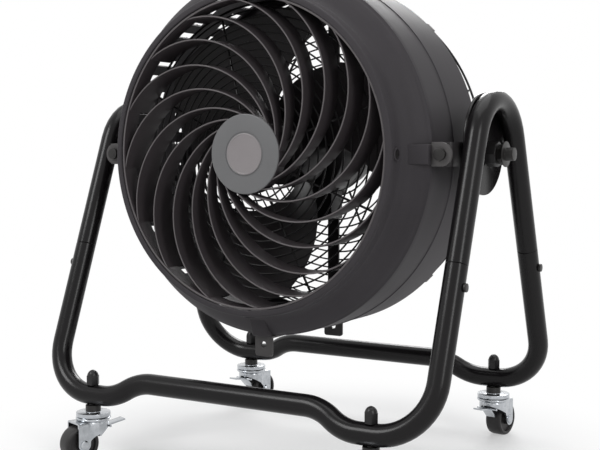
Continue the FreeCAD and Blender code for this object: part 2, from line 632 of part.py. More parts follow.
def caster_fork(side, end):
    body = new_body()
    eye = "(wheel_diameter / 2)"
    front_low = f"{FORK_TOP} - fork_front_depth"
    cheek = chain(sketch_on(body, "XZ_Plane"), [
        ("-fork_reach", FORK_TOP), ("-fork_reach", front_low),
        ("wheel_trail", f"{eye} - fork_boss", "fork_arch", -1),
        ("wheel_trail + fork_boss", eye, "fork_boss", 1),
        ("wheel_trail + fork_boss", FORK_TOP),
    ])
    padded(body, cheek, "fork_gap + 2 * fork_plate")
    race = sketch_on(body, "XY_Plane")
    race.setExpression("AttachmentOffset.Base.z", sized(FORK_TOP))
    ring = body.newObject("PartDesign::Pad", "ring")
    ring.Profile = circle_in(race, "race_radius")
    bind(ring, Length="race_lower")
    space = rectangle(sketch_on(body, "XZ_Plane"), "-fork_reach - overrun", "0",
                      "wheel_trail + wheel_diameter / 2", CROWN)
    pocketed(body, space, "fork_gap", True)
    crown_hole = circle_in(sketch_on(body, "XY_Plane"), "stem_diameter / 2 + slip_fit")
    pocketed(body, crown_hole, f"{LOWER_RACE} + overrun", False)
    pins = sketch_on(body, "XZ_Plane")
    circle_in(pins, "axle_diameter / 2 + slip_fit", "wheel_trail", eye)
    circle_in(pins, "pedal_pin_diameter / 2 + slip_fit", f"-{PIN_X}", PIN_Z)
    pocketed(body, pins, "fork_gap + 2 * fork_plate + 2 * overrun", True)
    at_caster(body, side, end)
    half = "(fork_gap / 2 + fork_plate)"
    shank, head, tip = "axle_diameter / 2", "axle_head_radius", f"{half} + axle_head_height"
    axle = turned(new_body(), "XY_Plane", [
        ("0", f"-{tip}"), (head, f"-{tip}"), (head, f"-{half}"), (shank, f"-{half}"),
        (shank, half), (head, half), (head, tip), ("0", tip),
    ])
    at_caster(axle, side, end, "wheel_trail", eye)
    return group([body, axle])


def caster_wheel(side, end):
    tread, web = "(wheel_width / 2)", "(wheel_width / 2 - wheel_recess)"
    bore, rim = "axle_diameter / 2 + slip_fit", "(wheel_diameter / 2 - wheel_rim)"
    outer = "wheel_diameter / 2"
    body = turned(new_body(), "XY_Plane", [
        (bore, f"-{tread}"), ("wheel_hub_radius", f"-{tread}"), ("wheel_hub_radius", f"-{web}"),
        (rim, f"-{web}"), (rim, f"-{tread}"), (f"{outer} - wheel_round", f"-{tread}"),
        (outer, f"-{tread} + wheel_round", "wheel_round", 1), (outer, f"{tread} - wheel_round"),
        (f"{outer} - wheel_round", tread, "wheel_round", 1), (rim, tread), (rim, web),
        ("wheel_hub_radius", web), ("wheel_hub_radius", tread), (bore, tread),
    ])
    return at_caster(body, side, end, "wheel_trail", "wheel_diameter / 2")


def brake_pedal(side, end):
    body = new_body()
    under = f"{PIN_Z} - pedal_plate / 2"
    over = f"{PIN_Z} + pedal_plate / 2"
    toe = "(pedal_plate + pedal_plate / 2)"
    lever = chain(sketch_on(body, "XZ_Plane"), [
        ("-pedal_length", f"{under} + pedal_rise"), (f"-{PIN_X} - pedal_pin_diameter", under),
        (f"-{PIN_X} + shoe_reach - {toe}", f"{PIN_Z} - shoe_drop"),
        (f"-{PIN_X} + shoe_reach", f"{PIN_Z} - shoe_drop"),
        (f"-{PIN_X} + pedal_pin_diameter", over), (f"-{PIN_X} - pedal_pin_diameter", over),
        ("-pedal_length", f"{over} + pedal_rise"),
    ])
    padded(body, lever, "pedal_width")
    barrel = circle_in(sketch_on(body, "XZ_Plane"), "pedal_pin_diameter / 2", f"-{PIN_X}", PIN_Z)
    padded(body, barrel, "fork_gap + 2 * fork_plate")
    return at_caster(body, side, end)


node(group([caster_stem(side, end) for side, end in corners]), "caster_stems")
node(group([cap_nut(side, end) for side, end in corners]), "caster_cap_nuts")
for end_name, end in ENDS.items():
    for side_name, side in SIDES.items():
        node(caster_fork(side, end), f"{end_name}_{side_name}_caster_fork")
        node(caster_wheel(side, end), f"{end_name}_{side_name}_caster_wheel")
        node(brake_pedal(side, end), f"{end_name}_{side_name}_brake_pedal")

# Pivots, from the stand's plate inwards to the fan's bracket and outwards to the clamp knob
PLATE_IN = "(hoop_half_span - tube_od / 2 - plate_thick)"
PLATE_OUT = "(hoop_half_span - tube_od / 2)"
WASHER_IN = f"({PLATE_IN} - running_gap - friction_washer_thick)"
WEB_IN = f"({WASHER_IN} - bracket_plate)"
KNOB_IN = f"({PLATE_OUT} + running_gap)"
KNOB_GRIP = f"({KNOB_IN} + knob_neck_length)"
KNOB_OUT = f"({KNOB_GRIP} + knob_length)"
NUT_IN = f"({KNOB_OUT} + running_gap)"
END_WASHER_IN = f"({NUT_IN} + lock_nut_height)"
CAP_IN = f"({END_WASHER_IN} + end_washer_thick)"
PIVOT_HOLE = "(pivot_bolt_diameter / 2 + slip_fit)"


def across(side, radius, start, length, z="pivot_height"):
    """A round bar along the tilt axis, or parallel to it, on one side of the stand."""
    return rod(radius, length, "X", outward(side, start, length), "0", z)


def flats(side, sides, size, start, length):
    """A nut, head or knob along the tilt axis."""
    return prism(sides, size, length, "X", outward(side, start, length), "0", "pivot_height")


def pivot_plate(side):
    disc = across(side, "plate_radius", PLATE_IN, "plate_thick", "pivot_height + plate_rise")
    return cut(disc, across(side, PIVOT_HOLE, f"{PLATE_IN} - overrun", "plate_thick + 2 * overrun"))


def friction_washer(side):
    disc = across(side, "friction_washer_radius", WASHER_IN, "friction_washer_thick")
    length = "friction_washer_thick + 2 * overrun"
    return cut(disc, across(side, PIVOT_HOLE, f"{WASHER_IN} - overrun", length))


def pivot_bolt(side):
    head = flats(side, 6, "pivot_head_flats", f"{WEB_IN} - pivot_head_height", "pivot_head_height")
    start = f"({WEB_IN} - pivot_head_height / 2)"
    shank = across(side, "pivot_bolt_diameter / 2", start, f"{CAP_IN} - {start}")
    nut = flats(side, 6, "lock_nut_flats", NUT_IN, "lock_nut_height")
    washer = across(side, "end_washer_radius", END_WASHER_IN, "end_washer_thick")
    cap = across(side, "end_cap_radius", CAP_IN, "end_cap_length")
    return fuse(head, shank, nut, washer, cap)


def tilt_knob(side):
    grip = flats(side, 8, "knob_flats", KNOB_GRIP, "knob_length")
    neck = across(side, "knob_neck_radius", KNOB_IN, "knob_neck_length + knob_length / 2")
    bore = across(side, PIVOT_HOLE, f"{KNOB_IN} - overrun", "knob_neck_length + knob_length + 2 * overrun")
    return cut(fuse(grip, neck), bore)


def pivot_bracket(side):
    body = new_body()
    out, inside, far = (f"{side} * ({text})" for text in (WASHER_IN, WEB_IN, f"{WASHER_IN} - bracket_depth"))
    web_end = f"{side} * ({WASHER_IN} - bracket_bend)"
    bend_in = f"{side} * ({WEB_IN} - bracket_bend + bracket_plate)"
    long, short = "bracket_half_length", "(bracket_half_length - bracket_plate)"
    inner = "bracket_bend - bracket_plate"
    channel = chain(sketch_on(body, "XY_Plane"), [
        (far, f"-{long}"), (web_end, f"-{long}"), (out, f"-{long} + bracket_bend", "bracket_bend", side),
        (out, f"{long} - bracket_bend"), (web_end, long, "bracket_bend", side), (far, long),
        (far, short), (bend_in, short), (inside, f"{short} - ({inner})", inner, -side),
        (inside, f"-{short} + ({inner})"), (bend_in, f"-{short}", inner, -side), (far, f"-{short}"),
    ])
    padded(body, channel, "bracket_width")
    place(body, **HEAD)
    bolts = rod("lug_hole_diameter / 2", "2 * bracket_half_length + 2 * overrun", "Y",
                f"{side} * lug_hole_radius", "-bracket_half_length - overrun", "pivot_height")
    pivot = across(side, PIVOT_HOLE, f"{WEB_IN} - overrun", "bracket_plate + 2 * overrun")
    return cut(body, bolts, pivot)


def bracket_bolt(side, end):
    """A bolt through a lug, or through the motor frame's arm, and the bracket's flange behind it."""
    x = f"{side} * lug_hole_radius"
    outer = f"(bracket_half_length + {'lug_plate' if end < 0 else 'frame_thick'})"
    inner = "(bracket_half_length - bracket_plate)"
    head_y = outer if end > 0 else f"-{outer} - bolt_head_height"
    nut_y = f"{inner} - bolt_nut_height" if end > 0 else f"-{inner}"
    head = rod("bolt_head_radius", "bolt_head_height", "Y", x, head_y, "pivot_height")
    nut = prism(6, "bolt_nut_flats", "bolt_nut_height", "Y", x, nut_y, "pivot_height")
    length = f"({outer} - {inner} + bolt_head_height / 2 + bolt_nut_height)"
    shank_y = f"{inner} - bolt_nut_height" if end > 0 else f"-{outer} - bolt_head_height / 2"
    return fuse(head, nut, rod("bolt_diameter / 2", length, "Y", x, shank_y, "pivot_height"))


node(group([friction_washer(side) for side in SIDES.values()]), "friction_washers")
for name, side in SIDES.items():
    node(pivot_plate(side), f"{name}_pivot_plate")
    node(pivot_bracket(side), f"{name}_pivot_bracket")
    node(pivot_bolt(side), f"{name}_pivot_bolt")
    node(tilt_knob(side), f"{name}_tilt_knob")
    node(group([bracket_bolt(side, end) for end in ENDS.values()]), f"{name}_bracket_bolts")

# Outline of the housing from its front rim to its rear edge, as shares of its length and of its flare
PROFILE_SHARES = ((0.02, 0.0), (0.09, -0.01), (0.118, 0.03), (0.15, 0.22), (0.19, 0.55), (0.235, 0.87),
                  (0.27, 0.97), (0.32, 0.99), (0.6, 1.0), (1.0, 1.0))
SEAM_SHARES = (0.27, 0.6)


def drum_place(share):
    return f"(-drum_front + {share} * (drum_front + drum_rear))"


def drum_outside(share):
    return f"(rim_radius + {share} * (drum_radius - rim_radius))"


def drum_housing():
    body = new_body()
    front, rear = "-drum_front", "drum_rear"
    outside = [("0", front), ("rim_radius - drum_wall", front)]
    inside = [("0", f"{front} - overrun"), ("rim_radius - rim_lip", f"{front} - overrun"),
              ("rim_radius - rim_lip", f"{front} + drum_wall"),
              ("rim_radius - drum_wall", f"{front} + drum_wall")]
    for along, flare in PROFILE_SHARES:
        y, radius = drum_place(along), drum_outside(flare)
        if along in SEAM_SHARES:
            outside.append((radius, f"{y} - seam_width"))
            outside.append((f"{radius} + seam_height", f"{y} - seam_width / 2"))
            outside.append((f"{radius} + seam_height", y))
            outside.append((radius, f"{y} + seam_width / 2"))
        else:
            outside.append((radius, y))
        if along > PROFILE_SHARES[0][0]:
            inside.append((f"{radius} - drum_wall", y))
    behind = f"{rear} + drum_wall"
    outside += [("drum_radius", behind), ("0", behind)]
    inside += [("drum_radius - rear_lip", rear), ("drum_radius - rear_lip", f"{behind} + overrun"),
               ("0", f"{behind} + overrun")]
    turned(body, "XY_Plane", outside)
    boss_rear = "-bracket_half_length + lug_foot_length"
    boss = padded(body, chain(sketch_on(body, "YZ_Plane"), [
        ("-boss_front", "rim_radius - rim_lip"), (boss_rear, "rim_radius - rim_lip"),
        (boss_rear, "boss_top"),
        ("-bracket_half_length - 3 * lug_plate", "boss_top"), ("-boss_front", "rim_radius"),
    ]), "boss_width")
    patterned(body, boss, LUGS, "360")
    hollow = chain(sketch_on(body, "XY_Plane"), inside)
    groove = body.newObject("PartDesign::Groove", "groove")
    groove.Profile = hollow
    groove.ReferenceAxis = (hollow, ["V_Axis"])
    groove.Angle = 360
    screw_place = f"{front} + grille_screw_setback"
    seat = sketch_on(body, "XY_Plane")
    seat.setExpression("AttachmentOffset.Base.z", sized("rim_radius - drum_wall / 2"))
    circle_in(seat, "screw_recess_radius", "0", screw_place)
    patterned(body, pocketed(body, seat, "drum_wall", False), LUGS, "360")
    hole = circle_in(sketch_on(body, "XY_Plane"), "grille_screw_diameter / 2 + slip_fit", "0", screw_place)
    patterned(body, pocketed(body, hole, "drum_radius + overrun", False), LUGS, "360")
    slots = sketch_on(body, "XY_Plane")
    slots.AttachmentOffset.Rotation = Rotation(Vector(0, 1, 0), 0)
    slots.setExpression("AttachmentOffset.Rotation.Angle", sized("-90 - slot_span / 2"))
    rectangle(slots, "-slot_width / 2", "-slot_front", "slot_width / 2", "-slot_front_end")
    rectangle(slots, "-slot_width / 2", "slot_rear", "slot_width / 2", "slot_rear_end")
    patterned(body, pocketed(body, slots, "drum_radius + overrun", False), SLOTS, "slot_span")
    return place(body, **HEAD)


node(drum_housing(), "drum_housing")

# Lugs: bent steel straps on the housing's bosses, whose tabs stand out. Those at the sides have round ends
# and take the brackets' bolts, and the free ones end square.
def square_end(half, end):
    """Corners round the square end of a tab, from its right edge to its left one."""
    return [
        (half, f"{end} - lug_corner"), (f"{half} - lug_corner", end, "lug_corner", 1),
        (f"lug_corner - {half}", end), (f"-{half}", f"{end} - lug_corner", "lug_corner", 1),
    ]


def front_lug(angle, carries):
    body = new_body()
    width = "bracket_width" if carries else "free_lug_width"
    half = f"({width} / 2)"
    tab_sketch = sketch_on(body, "XZ_Plane")
    tab_sketch.setExpression("AttachmentOffset.Base.z", sized("bracket_half_length"))
    round_end = [(half, "lug_hole_radius"), ("0", f"lug_hole_radius + {half}", half, 1),
                 (f"-{half}", "lug_hole_radius", half, 1)]
    chain(tab_sketch, [
        (f"-{half}", "boss_top"), (half, "boss_top"),
        *(round_end if carries else square_end(half, "lug_hole_radius + free_lug_end")),
    ])
    circle_in(tab_sketch, "lug_hole_diameter / 2", "0", "lug_hole_radius")
    tab = body.newObject("PartDesign::Pad", "tab")
    tab.Profile = tab_sketch
    bind(tab, Length="lug_plate")
    foot = rectangle(sketch_on(body, "YZ_Plane"), "-bracket_half_length - lug_plate / 2", "boss_top",
                     "-bracket_half_length + lug_foot_length", "boss_top + lug_foot_thick")
    padded(body, foot, width)
    place(body, **HEAD)
    body.Placement.Rotation = Rotation(Vector(0, 1, 0), angle)
    return body


for name, angle in (("top", 0), ("right", 90), ("bottom", 180), ("left", 270)):
    node(front_lug(angle, name in SIDES), f"{name}_front_lug")

# Front grille: a deep ring and a hub cup joined by swept vanes, whose rear edges lie on a cone
GRILLE_BORE = "(grille_radius - grille_ring_wall)"
VANE_BACK_HUB = "(-vane_front + vane_depth_hub)"
VANE_BACK_RIM = "(-vane_front + vane_depth_rim)"
HUB_FACE = "(-vane_front - hub_proud)"
RING_REAR = "(-grille_front + ring_depth)"


def turned_shape(points):
    """A solid turned about the fan's axis from corners (radius, place along the axis)."""
    corner_points = [Vector(value(radius), value(y), 0) for radius, y in points]
    face = Part.Face(Part.makePolygon(corner_points + corner_points[:1]))
    return face.revolve(Vector(0, 0, 0), Vector(0, 1, 0), 360)


def front_grille():
    front = "-vane_front"
    ring_rear, cup_rear, cup_in = RING_REAR, f"{VANE_BACK_HUB} + cup_proud", "hub_radius - hub_wall"
    ring = turned_shape([(GRILLE_BORE, "-grille_front"), ("grille_radius", "-grille_front"),
                         ("grille_radius", ring_rear), (GRILLE_BORE, ring_rear)])
    cup_floor = f"{HUB_FACE} + hub_wall"
    cup = turned_shape([("0", HUB_FACE), ("hub_radius", HUB_FACE), ("hub_radius", cup_rear),
                        (cup_in, cup_rear), (cup_in, cup_floor), ("0", cup_floor)])
    rooted, seated = "hub_radius - hub_wall / 2", "grille_radius - grille_ring_wall / 2"
    annulus = turned_shape([(rooted, front), (seated, front),
                            (seated, VANE_BACK_RIM), (rooted, VANE_BACK_HUB)])
    depth, reach = value("vane_depth_rim"), value("vane_arc + vane_offset + vane_thick")
    centre = Vector(value("vane_offset"), value(front), 0)
    along = Vector(0, 1, 0)
    outer, inner = (Part.makeCylinder(value(f"vane_arc {sign} vane_thick / 2"), depth, centre, along)
                    for sign in "+-")
    # The sweep's circle crosses the ring twice, and the half of it below its own centre is the vane
    half = Part.makeBox(2 * reach, depth, reach, Vector(-reach, value(front), -reach))
    vane = outer.cut(inner).common(half).common(annulus)
    vanes = []
    for number in range(VANES):
        copy = vane.copy()
        copy.rotate(Vector(0, 0, 0), Vector(0, 1, 0), number * 360 / VANES - value("vane_bearing"))
        vanes.append(copy)
    whole = ring.fuse([cup] + vanes)
    for quarter in range(LUGS):
        start = Vector(0, value("grille_screw_setback - drum_front"), value(f"{GRILLE_BORE} - overrun"))
        hole = Part.makeCylinder(value("grille_screw_diameter / 2 + slip_fit"),
                                 value("grille_ring_wall + 2 * overrun"), start)
        hole.rotate(Vector(0, 0, 0), Vector(0, 1, 0), quarter * 360 / LUGS)
        whole = whole.cut(hole)
    return place(shaped(whole), **HEAD)


def grille_screw(angle):
    place_y = "-drum_front + grille_screw_setback"
    seat = "(rim_radius - drum_wall / 2)"
    body = turned(new_body(), "XZ_Plane", [
        ("0", GRILLE_BORE), ("grille_screw_diameter / 2", GRILLE_BORE), ("grille_screw_diameter / 2", seat),
        ("grille_head_radius", seat), ("grille_head_radius", f"{seat} + grille_head_height"),
        ("0", f"{seat} + grille_head_height"),
    ])
    body.Placement.Rotation = Rotation(Vector(0, 1, 0), angle)
    return place(body, y=place_y, **HEAD)


QUARTERS = [quarter * 360 / LUGS for quarter in range(LUGS)]
node(front_grille(), "front_grille")
node(group([grille_screw(angle) for angle in QUARTERS]), "grille_screws")

# Hub cap and badge: flat discs on the front of the grille's hub
node(rod("hub_radius", "hub_cap_thick", "Y", y=f"{HUB_FACE} - hub_cap_thick", **HEAD), "hub_cap")
badge_front = f"{HUB_FACE} - hub_cap_thick - badge_thick"
node(rod("badge_radius", "badge_thick", "Y", y=badge_front, **HEAD), "hub_badge")


# Wire guards: welded rings and stays, the front one on the cone of the vanes' rear edges
def ring_wire(radius, y, wire):
    return Part.makeTorus(radius, wire / 2, Vector(0, y, 0), Vector(0, 1, 0))


def around(shape, first, count):
    """Copies of a shape round the fan's axis, the first one at an angle anticlockwise from the right."""
    copies = []
    for number in range(count):
        copy = shape.copy()
        copy.rotate(Vector(0, 0, 0), Vector(0, 1, 0), -first - number * 360 / count)
        copies.append(copy)
    return copies


def front_wire_guard():
    hub = Vector(value("hub_radius"), value(VANE_BACK_HUB), 0)
    rim = Vector(value(GRILLE_BORE), value(VANE_BACK_RIM), 0)
    along = (rim - hub).normalize()
    back = Vector(-along.y, along.x, 0)
    thin, thick, weld, gap = (value(name) for name in ("ring_wire", "stay_wire", "weld_gap", "guard_gap"))
    first, last, pitch = (value(f"front_ring_{name}") for name in ("first", "last", "pitch"))
    rings = []
    for number in range(round((last - first) / pitch) + 1):
        radius = first + number * pitch
        spot = hub + along * ((radius - hub.x) / along.x) + back * (gap + thin / 2)
        rings.append(ring_wire(spot.x, spot.y, thin))
    level = hub + back * (gap + thin + weld + thick / 2)
    inner = level + along * ((first - thin - level.x) / along.x)
    outer = level + along * ((value(GRILLE_BORE) - thick - level.x) / along.x)
    stay = Part.makeCylinder(thick / 2, (outer - inner).Length, inner, along)
    edge = rim + back * (gap + thick / 2)
    rim_ring = ring_wire(edge.x, edge.y, thick)
    stays = around(stay, value("stay_bearing"), STAYS)
    return place(shaped(Part.makeCompound(rings + stays + [rim_ring])), **HEAD)


def rear_wire_guard():
    thin, thick, weld = value("ring_wire"), value("stay_wire"), value("weld_gap")
    first, last, pitch = (value(f"rear_ring_{name}") for name in ("first", "last", "pitch"))
    flat = value("frame_plane + frame_thick + weld_gap + ring_wire / 2")
    count = round((last - first) / pitch) + 1
    rings = [ring_wire(first + number * pitch, flat, thin) for number in range(count)]
    rim = value("rear_rim_radius")
    rings.append(ring_wire(rim, value("frame_plane + frame_thick + weld_gap + stay_wire / 2"), thick))
    leg = rim - thick - weld
    lip = value("drum_rear + drum_wall")
    hoop_radius = leg + (thick + thin) / 2 + weld
    foot = lip + value("guard_foot")
    step = value("side_ring_pitch")
    rings += [ring_wire(hoop_radius, foot + number * step, thin) for number in range(3)]
    stay_y, bend = flat + (thin + thick) / 2 + weld, value("guard_bend")
    inner, knee, drop = (Vector(first - thin, stay_y, 0), Vector(leg - bend, stay_y, 0),
                         Vector(leg, stay_y - bend, 0))
    middle = Vector(leg - bend, stay_y - bend, 0) + Vector(bend, bend, 0) / 2 ** 0.5
    path = Part.Wire([Part.makeLine(inner, knee), Part.Arc(knee, middle, drop).toShape(),
                      Part.makeLine(drop, Vector(leg, lip + weld, 0))])
    section = Part.Wire([Part.makeCircle(thick / 2, inner, Vector(1, 0, 0))])
    stay = path.makePipeShell([section], True, True)
    stays = around(stay, 360 / STAYS / 2, STAYS)
    return place(shaped(Part.makeCompound(rings + stays)), **HEAD)


def guard_clip(angle):
    body = new_body()
    lip = "(drum_rear + drum_wall)"
    hook = f"({lip} + guard_foot + ring_wire / 2 + weld_gap)"
    leg = "(rear_rim_radius - stay_wire - weld_gap)"
    ring_out = f"({leg} + stay_wire / 2 + ring_wire + 2 * weld_gap)"
    tip = f"({ring_out} - ring_wire)"
    padded(body, chain(sketch_on(body, "YZ_Plane"), [
        (lip, ring_out), (hook, ring_out), (hook, tip), (f"{hook} + clip_wall", tip),
        (f"{hook} + clip_wall", f"{tip} + clip_reach"), (lip, f"{tip} + clip_reach"),
    ]), "clip_width")
    body.Placement.Rotation = Rotation(Vector(0, 1, 0), angle)
    return place(body, **HEAD)


node(front_wire_guard(), "front_wire_guard")
node(rear_wire_guard(), "rear_wire_guard")
node(group([guard_clip(angle + 360 / STAYS) for angle in QUARTERS]), "rear_guard_clips")


# Motor frame: a flat cross behind the housing, whose arm ends are the rear lugs, on four standoffs
def motor_frame():
    body = new_body()
    disc = sketch_on(body, "XZ_Plane")
    disc.setExpression("AttachmentOffset.Base.z", sized("-frame_plane"))
    circle_in(disc, "frame_disc_radius")
    circle_in(disc, "frame_bore_radius")
    middle = body.newObject("PartDesign::Pad", "middle")
    middle.Profile = disc
    middle.Reversed = True
    bind(middle, Length="frame_thick")
    arm = sketch_on(body, "XZ_Plane")
    arm.setExpression("AttachmentOffset.Base.z", sized("-frame_plane"))
    half, thin = "(bracket_width / 2)", "(frame_arm_width / 2)"
    root, spread = "(frame_disc_radius / 2)", "(lug_hole_radius - bracket_width)"
    chain(arm, [
        (f"-{thin}", root), (thin, root), (thin, f"{spread} - bracket_width"), (half, spread),
        *square_end(half, f"lug_hole_radius + {half}"),
        (f"-{half}", spread), (f"-{thin}", f"{spread} - bracket_width"),
    ])
    circle_in(arm, "lug_hole_diameter / 2", "0", "lug_hole_radius")
    limb = body.newObject("PartDesign::Pad", "limb")
    limb.Profile = arm
    limb.Reversed = True
    bind(limb, Length="frame_thick")
    patterned(body, limb, LUGS, "360")
    return place(body, **HEAD)


def standoff(angle):
    body = turned(new_body(), "XY_Plane", [
        ("0", "drum_rear + drum_wall"), ("standoff_radius", "drum_rear + drum_wall"),
        ("standoff_radius", "frame_plane"), ("0", "frame_plane"),
    ])
    return place(body, f"standoff_place * cos({angle})", "0", f"pivot_height + standoff_place * sin({angle})")


node(motor_frame(), "motor_frame")
node(group([standoff(angle) for angle in QUARTERS]), "rear_standoffs")

# Motor: a round shell between two end caps with bearings, fixed to the frame by its rear cap
SHELL_FRONT = "(motor_front + motor_cap)"
SHELL_REAR = "(frame_plane - motor_cap)"
CORE_MIDDLE = f"(({SHELL_FRONT} + {SHELL_REAR}) / 2)"
CORE_FRONT = f"({CORE_MIDDLE} - stator_length / 2)"
CORE_REAR = f"({CORE_MIDDLE} + stator_length / 2)"
SEAT = "(bearing_radius + slip_fit)"
BOSS = "(bearing_radius + bearing_seat)"
FRONT_BEARING = "(motor_front + bearing_seat)"
REAR_BEARING = "(frame_plane - bearing_seat)"
SHAFT_HOLE = "(shaft_diameter / 2 + slip_fit)"


def head_turned(points):
    """A piece of the fan turned about the fan's axis."""
    return place(turned(new_body(), "XY_Plane", points), **HEAD)


def tube_points(inside, outside, front, rear):
    return [(inside, front), (outside, front), (outside, rear), (inside, rear)]


shell = tube_points("motor_radius - motor_wall", "motor_radius", SHELL_FRONT, SHELL_REAR)
node(head_turned(shell), "motor_shell")
SHAFT_PASS = "(shaft_diameter / 2 + running_gap)"
front_seat, rear_seat = f"{FRONT_BEARING} + bearing_width", f"{REAR_BEARING} - bearing_width"
node(head_turned([
    (SHAFT_PASS, "motor_front"), ("motor_radius", "motor_front"), ("motor_radius", SHELL_FRONT),
    (BOSS, SHELL_FRONT),
    (BOSS, front_seat), (SEAT, front_seat), (SEAT, FRONT_BEARING), (SHAFT_PASS, FRONT_BEARING),
]), "motor_front_cap")
node(head_turned([
    ("0", "frame_plane"), ("motor_radius", "frame_plane"), ("motor_radius", SHELL_REAR), (BOSS, SHELL_REAR),
    (BOSS, rear_seat), (SEAT, rear_seat), (SEAT, REAR_BEARING), ("0", REAR_BEARING),
]), "motor_rear_cap")
node(group([
    head_turned(tube_points(SHAFT_HOLE, "bearing_radius", FRONT_BEARING, front_seat)),
    head_turned(tube_points(SHAFT_HOLE, "bearing_radius", rear_seat, REAR_BEARING)),
]), "motor_bearings")
core_out = "motor_radius - motor_wall - slip_fit"
node(head_turned(tube_points("stator_bore", core_out, CORE_FRONT, CORE_REAR)), "stator_core")
coil_in, coil_out = (f"(stator_bore + {core_out} {sign} winding_wall) / 2" for sign in "-+")
node(group([
    head_turned(tube_points(coil_in, coil_out, f"{CORE_FRONT} - winding_height", CORE_FRONT)),
    head_turned(tube_points(coil_in, coil_out, CORE_REAR, f"{CORE_REAR} + winding_height")),
]), "stator_windings")
capacitor = doc.addObject("Part::Box", "box")
bind(capacitor, Length="capacitor_width", Width="capacitor_length", Height="capacitor_height")
place(capacitor, "-capacitor_width / 2", f"{SHELL_REAR} - capacitor_length",
      "pivot_height - motor_radius - weld_gap - capacitor_height")
node(capacitor, "capacitor_box")

# Controls: a round housing behind the frame with a speed switch, its knob and a gland for the cord
CONTROL_FRONT = "(frame_plane + frame_thick)"
CONTROL_REAR = f"({CONTROL_FRONT} + control_length)"
CONTROL_FLOOR = f"({CONTROL_REAR} - control_wall)"
SPINDLE_HOLE = "(switch_shaft_radius + slip_fit)"
GLAND_Y = f"({CONTROL_FRONT} + control_length / 2)"


def control_box():
    cup = head_turned([
        ("control_radius - control_wall", CONTROL_FRONT), ("control_radius", CONTROL_FRONT),
        ("control_radius", CONTROL_REAR), (SPINDLE_HOLE, CONTROL_REAR), (SPINDLE_HOLE, CONTROL_FLOOR),
        ("control_radius - control_wall", CONTROL_FLOOR),
    ])
    below = "pivot_height - control_radius - overrun"
    return cut(cup, rod("gland_radius + slip_fit", "control_radius", "Z", y=GLAND_Y, z=below))


def cable_gland():
    start, length = "pivot_height - control_radius - gland_length", "(gland_length + control_wall)"
    barrel = rod("gland_radius", length, "Z", y=GLAND_Y, z=start)
    bore = rod("gland_bore_radius", f"{length} + 2 * overrun", "Z", y=GLAND_Y, z=f"{start} - overrun")
    return cut(barrel, bore)


def speed_switch():
    block = doc.addObject("Part::Box", "box")
    bind(block, Length="2 * switch_half", Width="switch_length", Height="2 * switch_half")
    place(block, "-switch_half", f"{CONTROL_FLOOR} - switch_length", "pivot_height - switch_half")
    bore = rod(SPINDLE_HOLE, "switch_length", "Y", y=f"{CONTROL_FLOOR} - switch_length / 2", **HEAD)
    return cut(block, bore)


node(control_box(), "control_box")
node(cable_gland(), "cable_gland")
node(speed_switch(), "speed_switch")
grip_front = f"{CONTROL_REAR} + running_gap"
spindle_end = f"{CONTROL_FLOOR} - switch_length / 2 + running_gap"
node(head_turned([
    ("0", spindle_end), ("switch_shaft_radius", spindle_end), ("switch_shaft_radius", grip_front),
    ("speed_knob_radius", grip_front), ("speed_knob_tip", f"{grip_front} + speed_knob_length"),
    ("0", f"{grip_front} + speed_knob_length"),
]), "speed_knob")

# Fan wheel: shaft, rotor and a moulded hub with three broad twisted blades, held on by a nut
nut_front = "-hub_front - hub_nut_height"
shaft_front, shaft_rear = f"{nut_front} + hub_nut_crown + slip_fit", f"{REAR_BEARING} - running_gap"
node(head_turned([
    ("0", shaft_front), ("shaft_diameter / 2", shaft_front),
    ("shaft_diameter / 2", shaft_rear), ("0", shaft_rear),
]), "motor_shaft")
node(head_turned(tube_points(SHAFT_HOLE, "stator_bore - air_gap", CORE_FRONT, CORE_REAR)), "rotor_core")
nut = prism(6, "hub_nut_flats", "hub_nut_height", "Y", y=nut_front, **HEAD)
node(cut(nut, rod(SHAFT_HOLE, "hub_nut_height", "Y", y=f"{nut_front} + hub_nut_crown", **HEAD)), "hub_nut")
BLADE_STATIONS = 7
STEP_SHARE = 0.001


def blade():
    """One blade: a twisted, hollowed sheet closed between two spline surfaces."""
    root, tip, thick = value("wheel_hub - hub_shell / 2"), value("blade_radius"), value("blade_thick")
    shares = [number / (BLADE_STATIONS - 1) for number in range(BLADE_STATIONS)]

    def spot(out, across):
        middle = value("blade_bearing") + value("blade_sweep") * (1 - out)
        angle = middle + value("blade_half_angle") * (2 * across - 1)
        y = value("blade_rear") * (1 - across) - value("blade_front") * across
        hollow = value("blade_camber") * 4 * across * (1 - across)
        point = Vector(root + (tip - root) * out, y + hollow, 0)
        return Rotation(Vector(0, 1, 0), -angle).multVec(point)

    def normal(out, across):
        along = spot(out + STEP_SHARE, across) - spot(out - STEP_SHARE, across)
        return along.cross(spot(out, across + STEP_SHARE) - spot(out, across - STEP_SHARE)).normalize()

    faces = []
    for sign in (1, -1):
        grid = [[spot(out, across) + normal(out, across) * (sign * thick / 2) for across in shares]
                for out in shares]
        surface = Part.BSplineSurface()
        surface.interpolate(grid)
        faces.append(surface)
    sides = []
    for direction in ("uIso", "vIso"):
        for end in (0, 1):
            edges = [getattr(surface, direction)(end).toShape() for surface in faces]
            sides.append(Part.makeRuledSurface(*edges))
    shell = Part.makeShell([surface.toShape() for surface in faces] + sides)
    shell.sewShape()
    solid = Part.makeSolid(shell)
    if solid.Volume < 0:
        solid.reverse()
    return solid


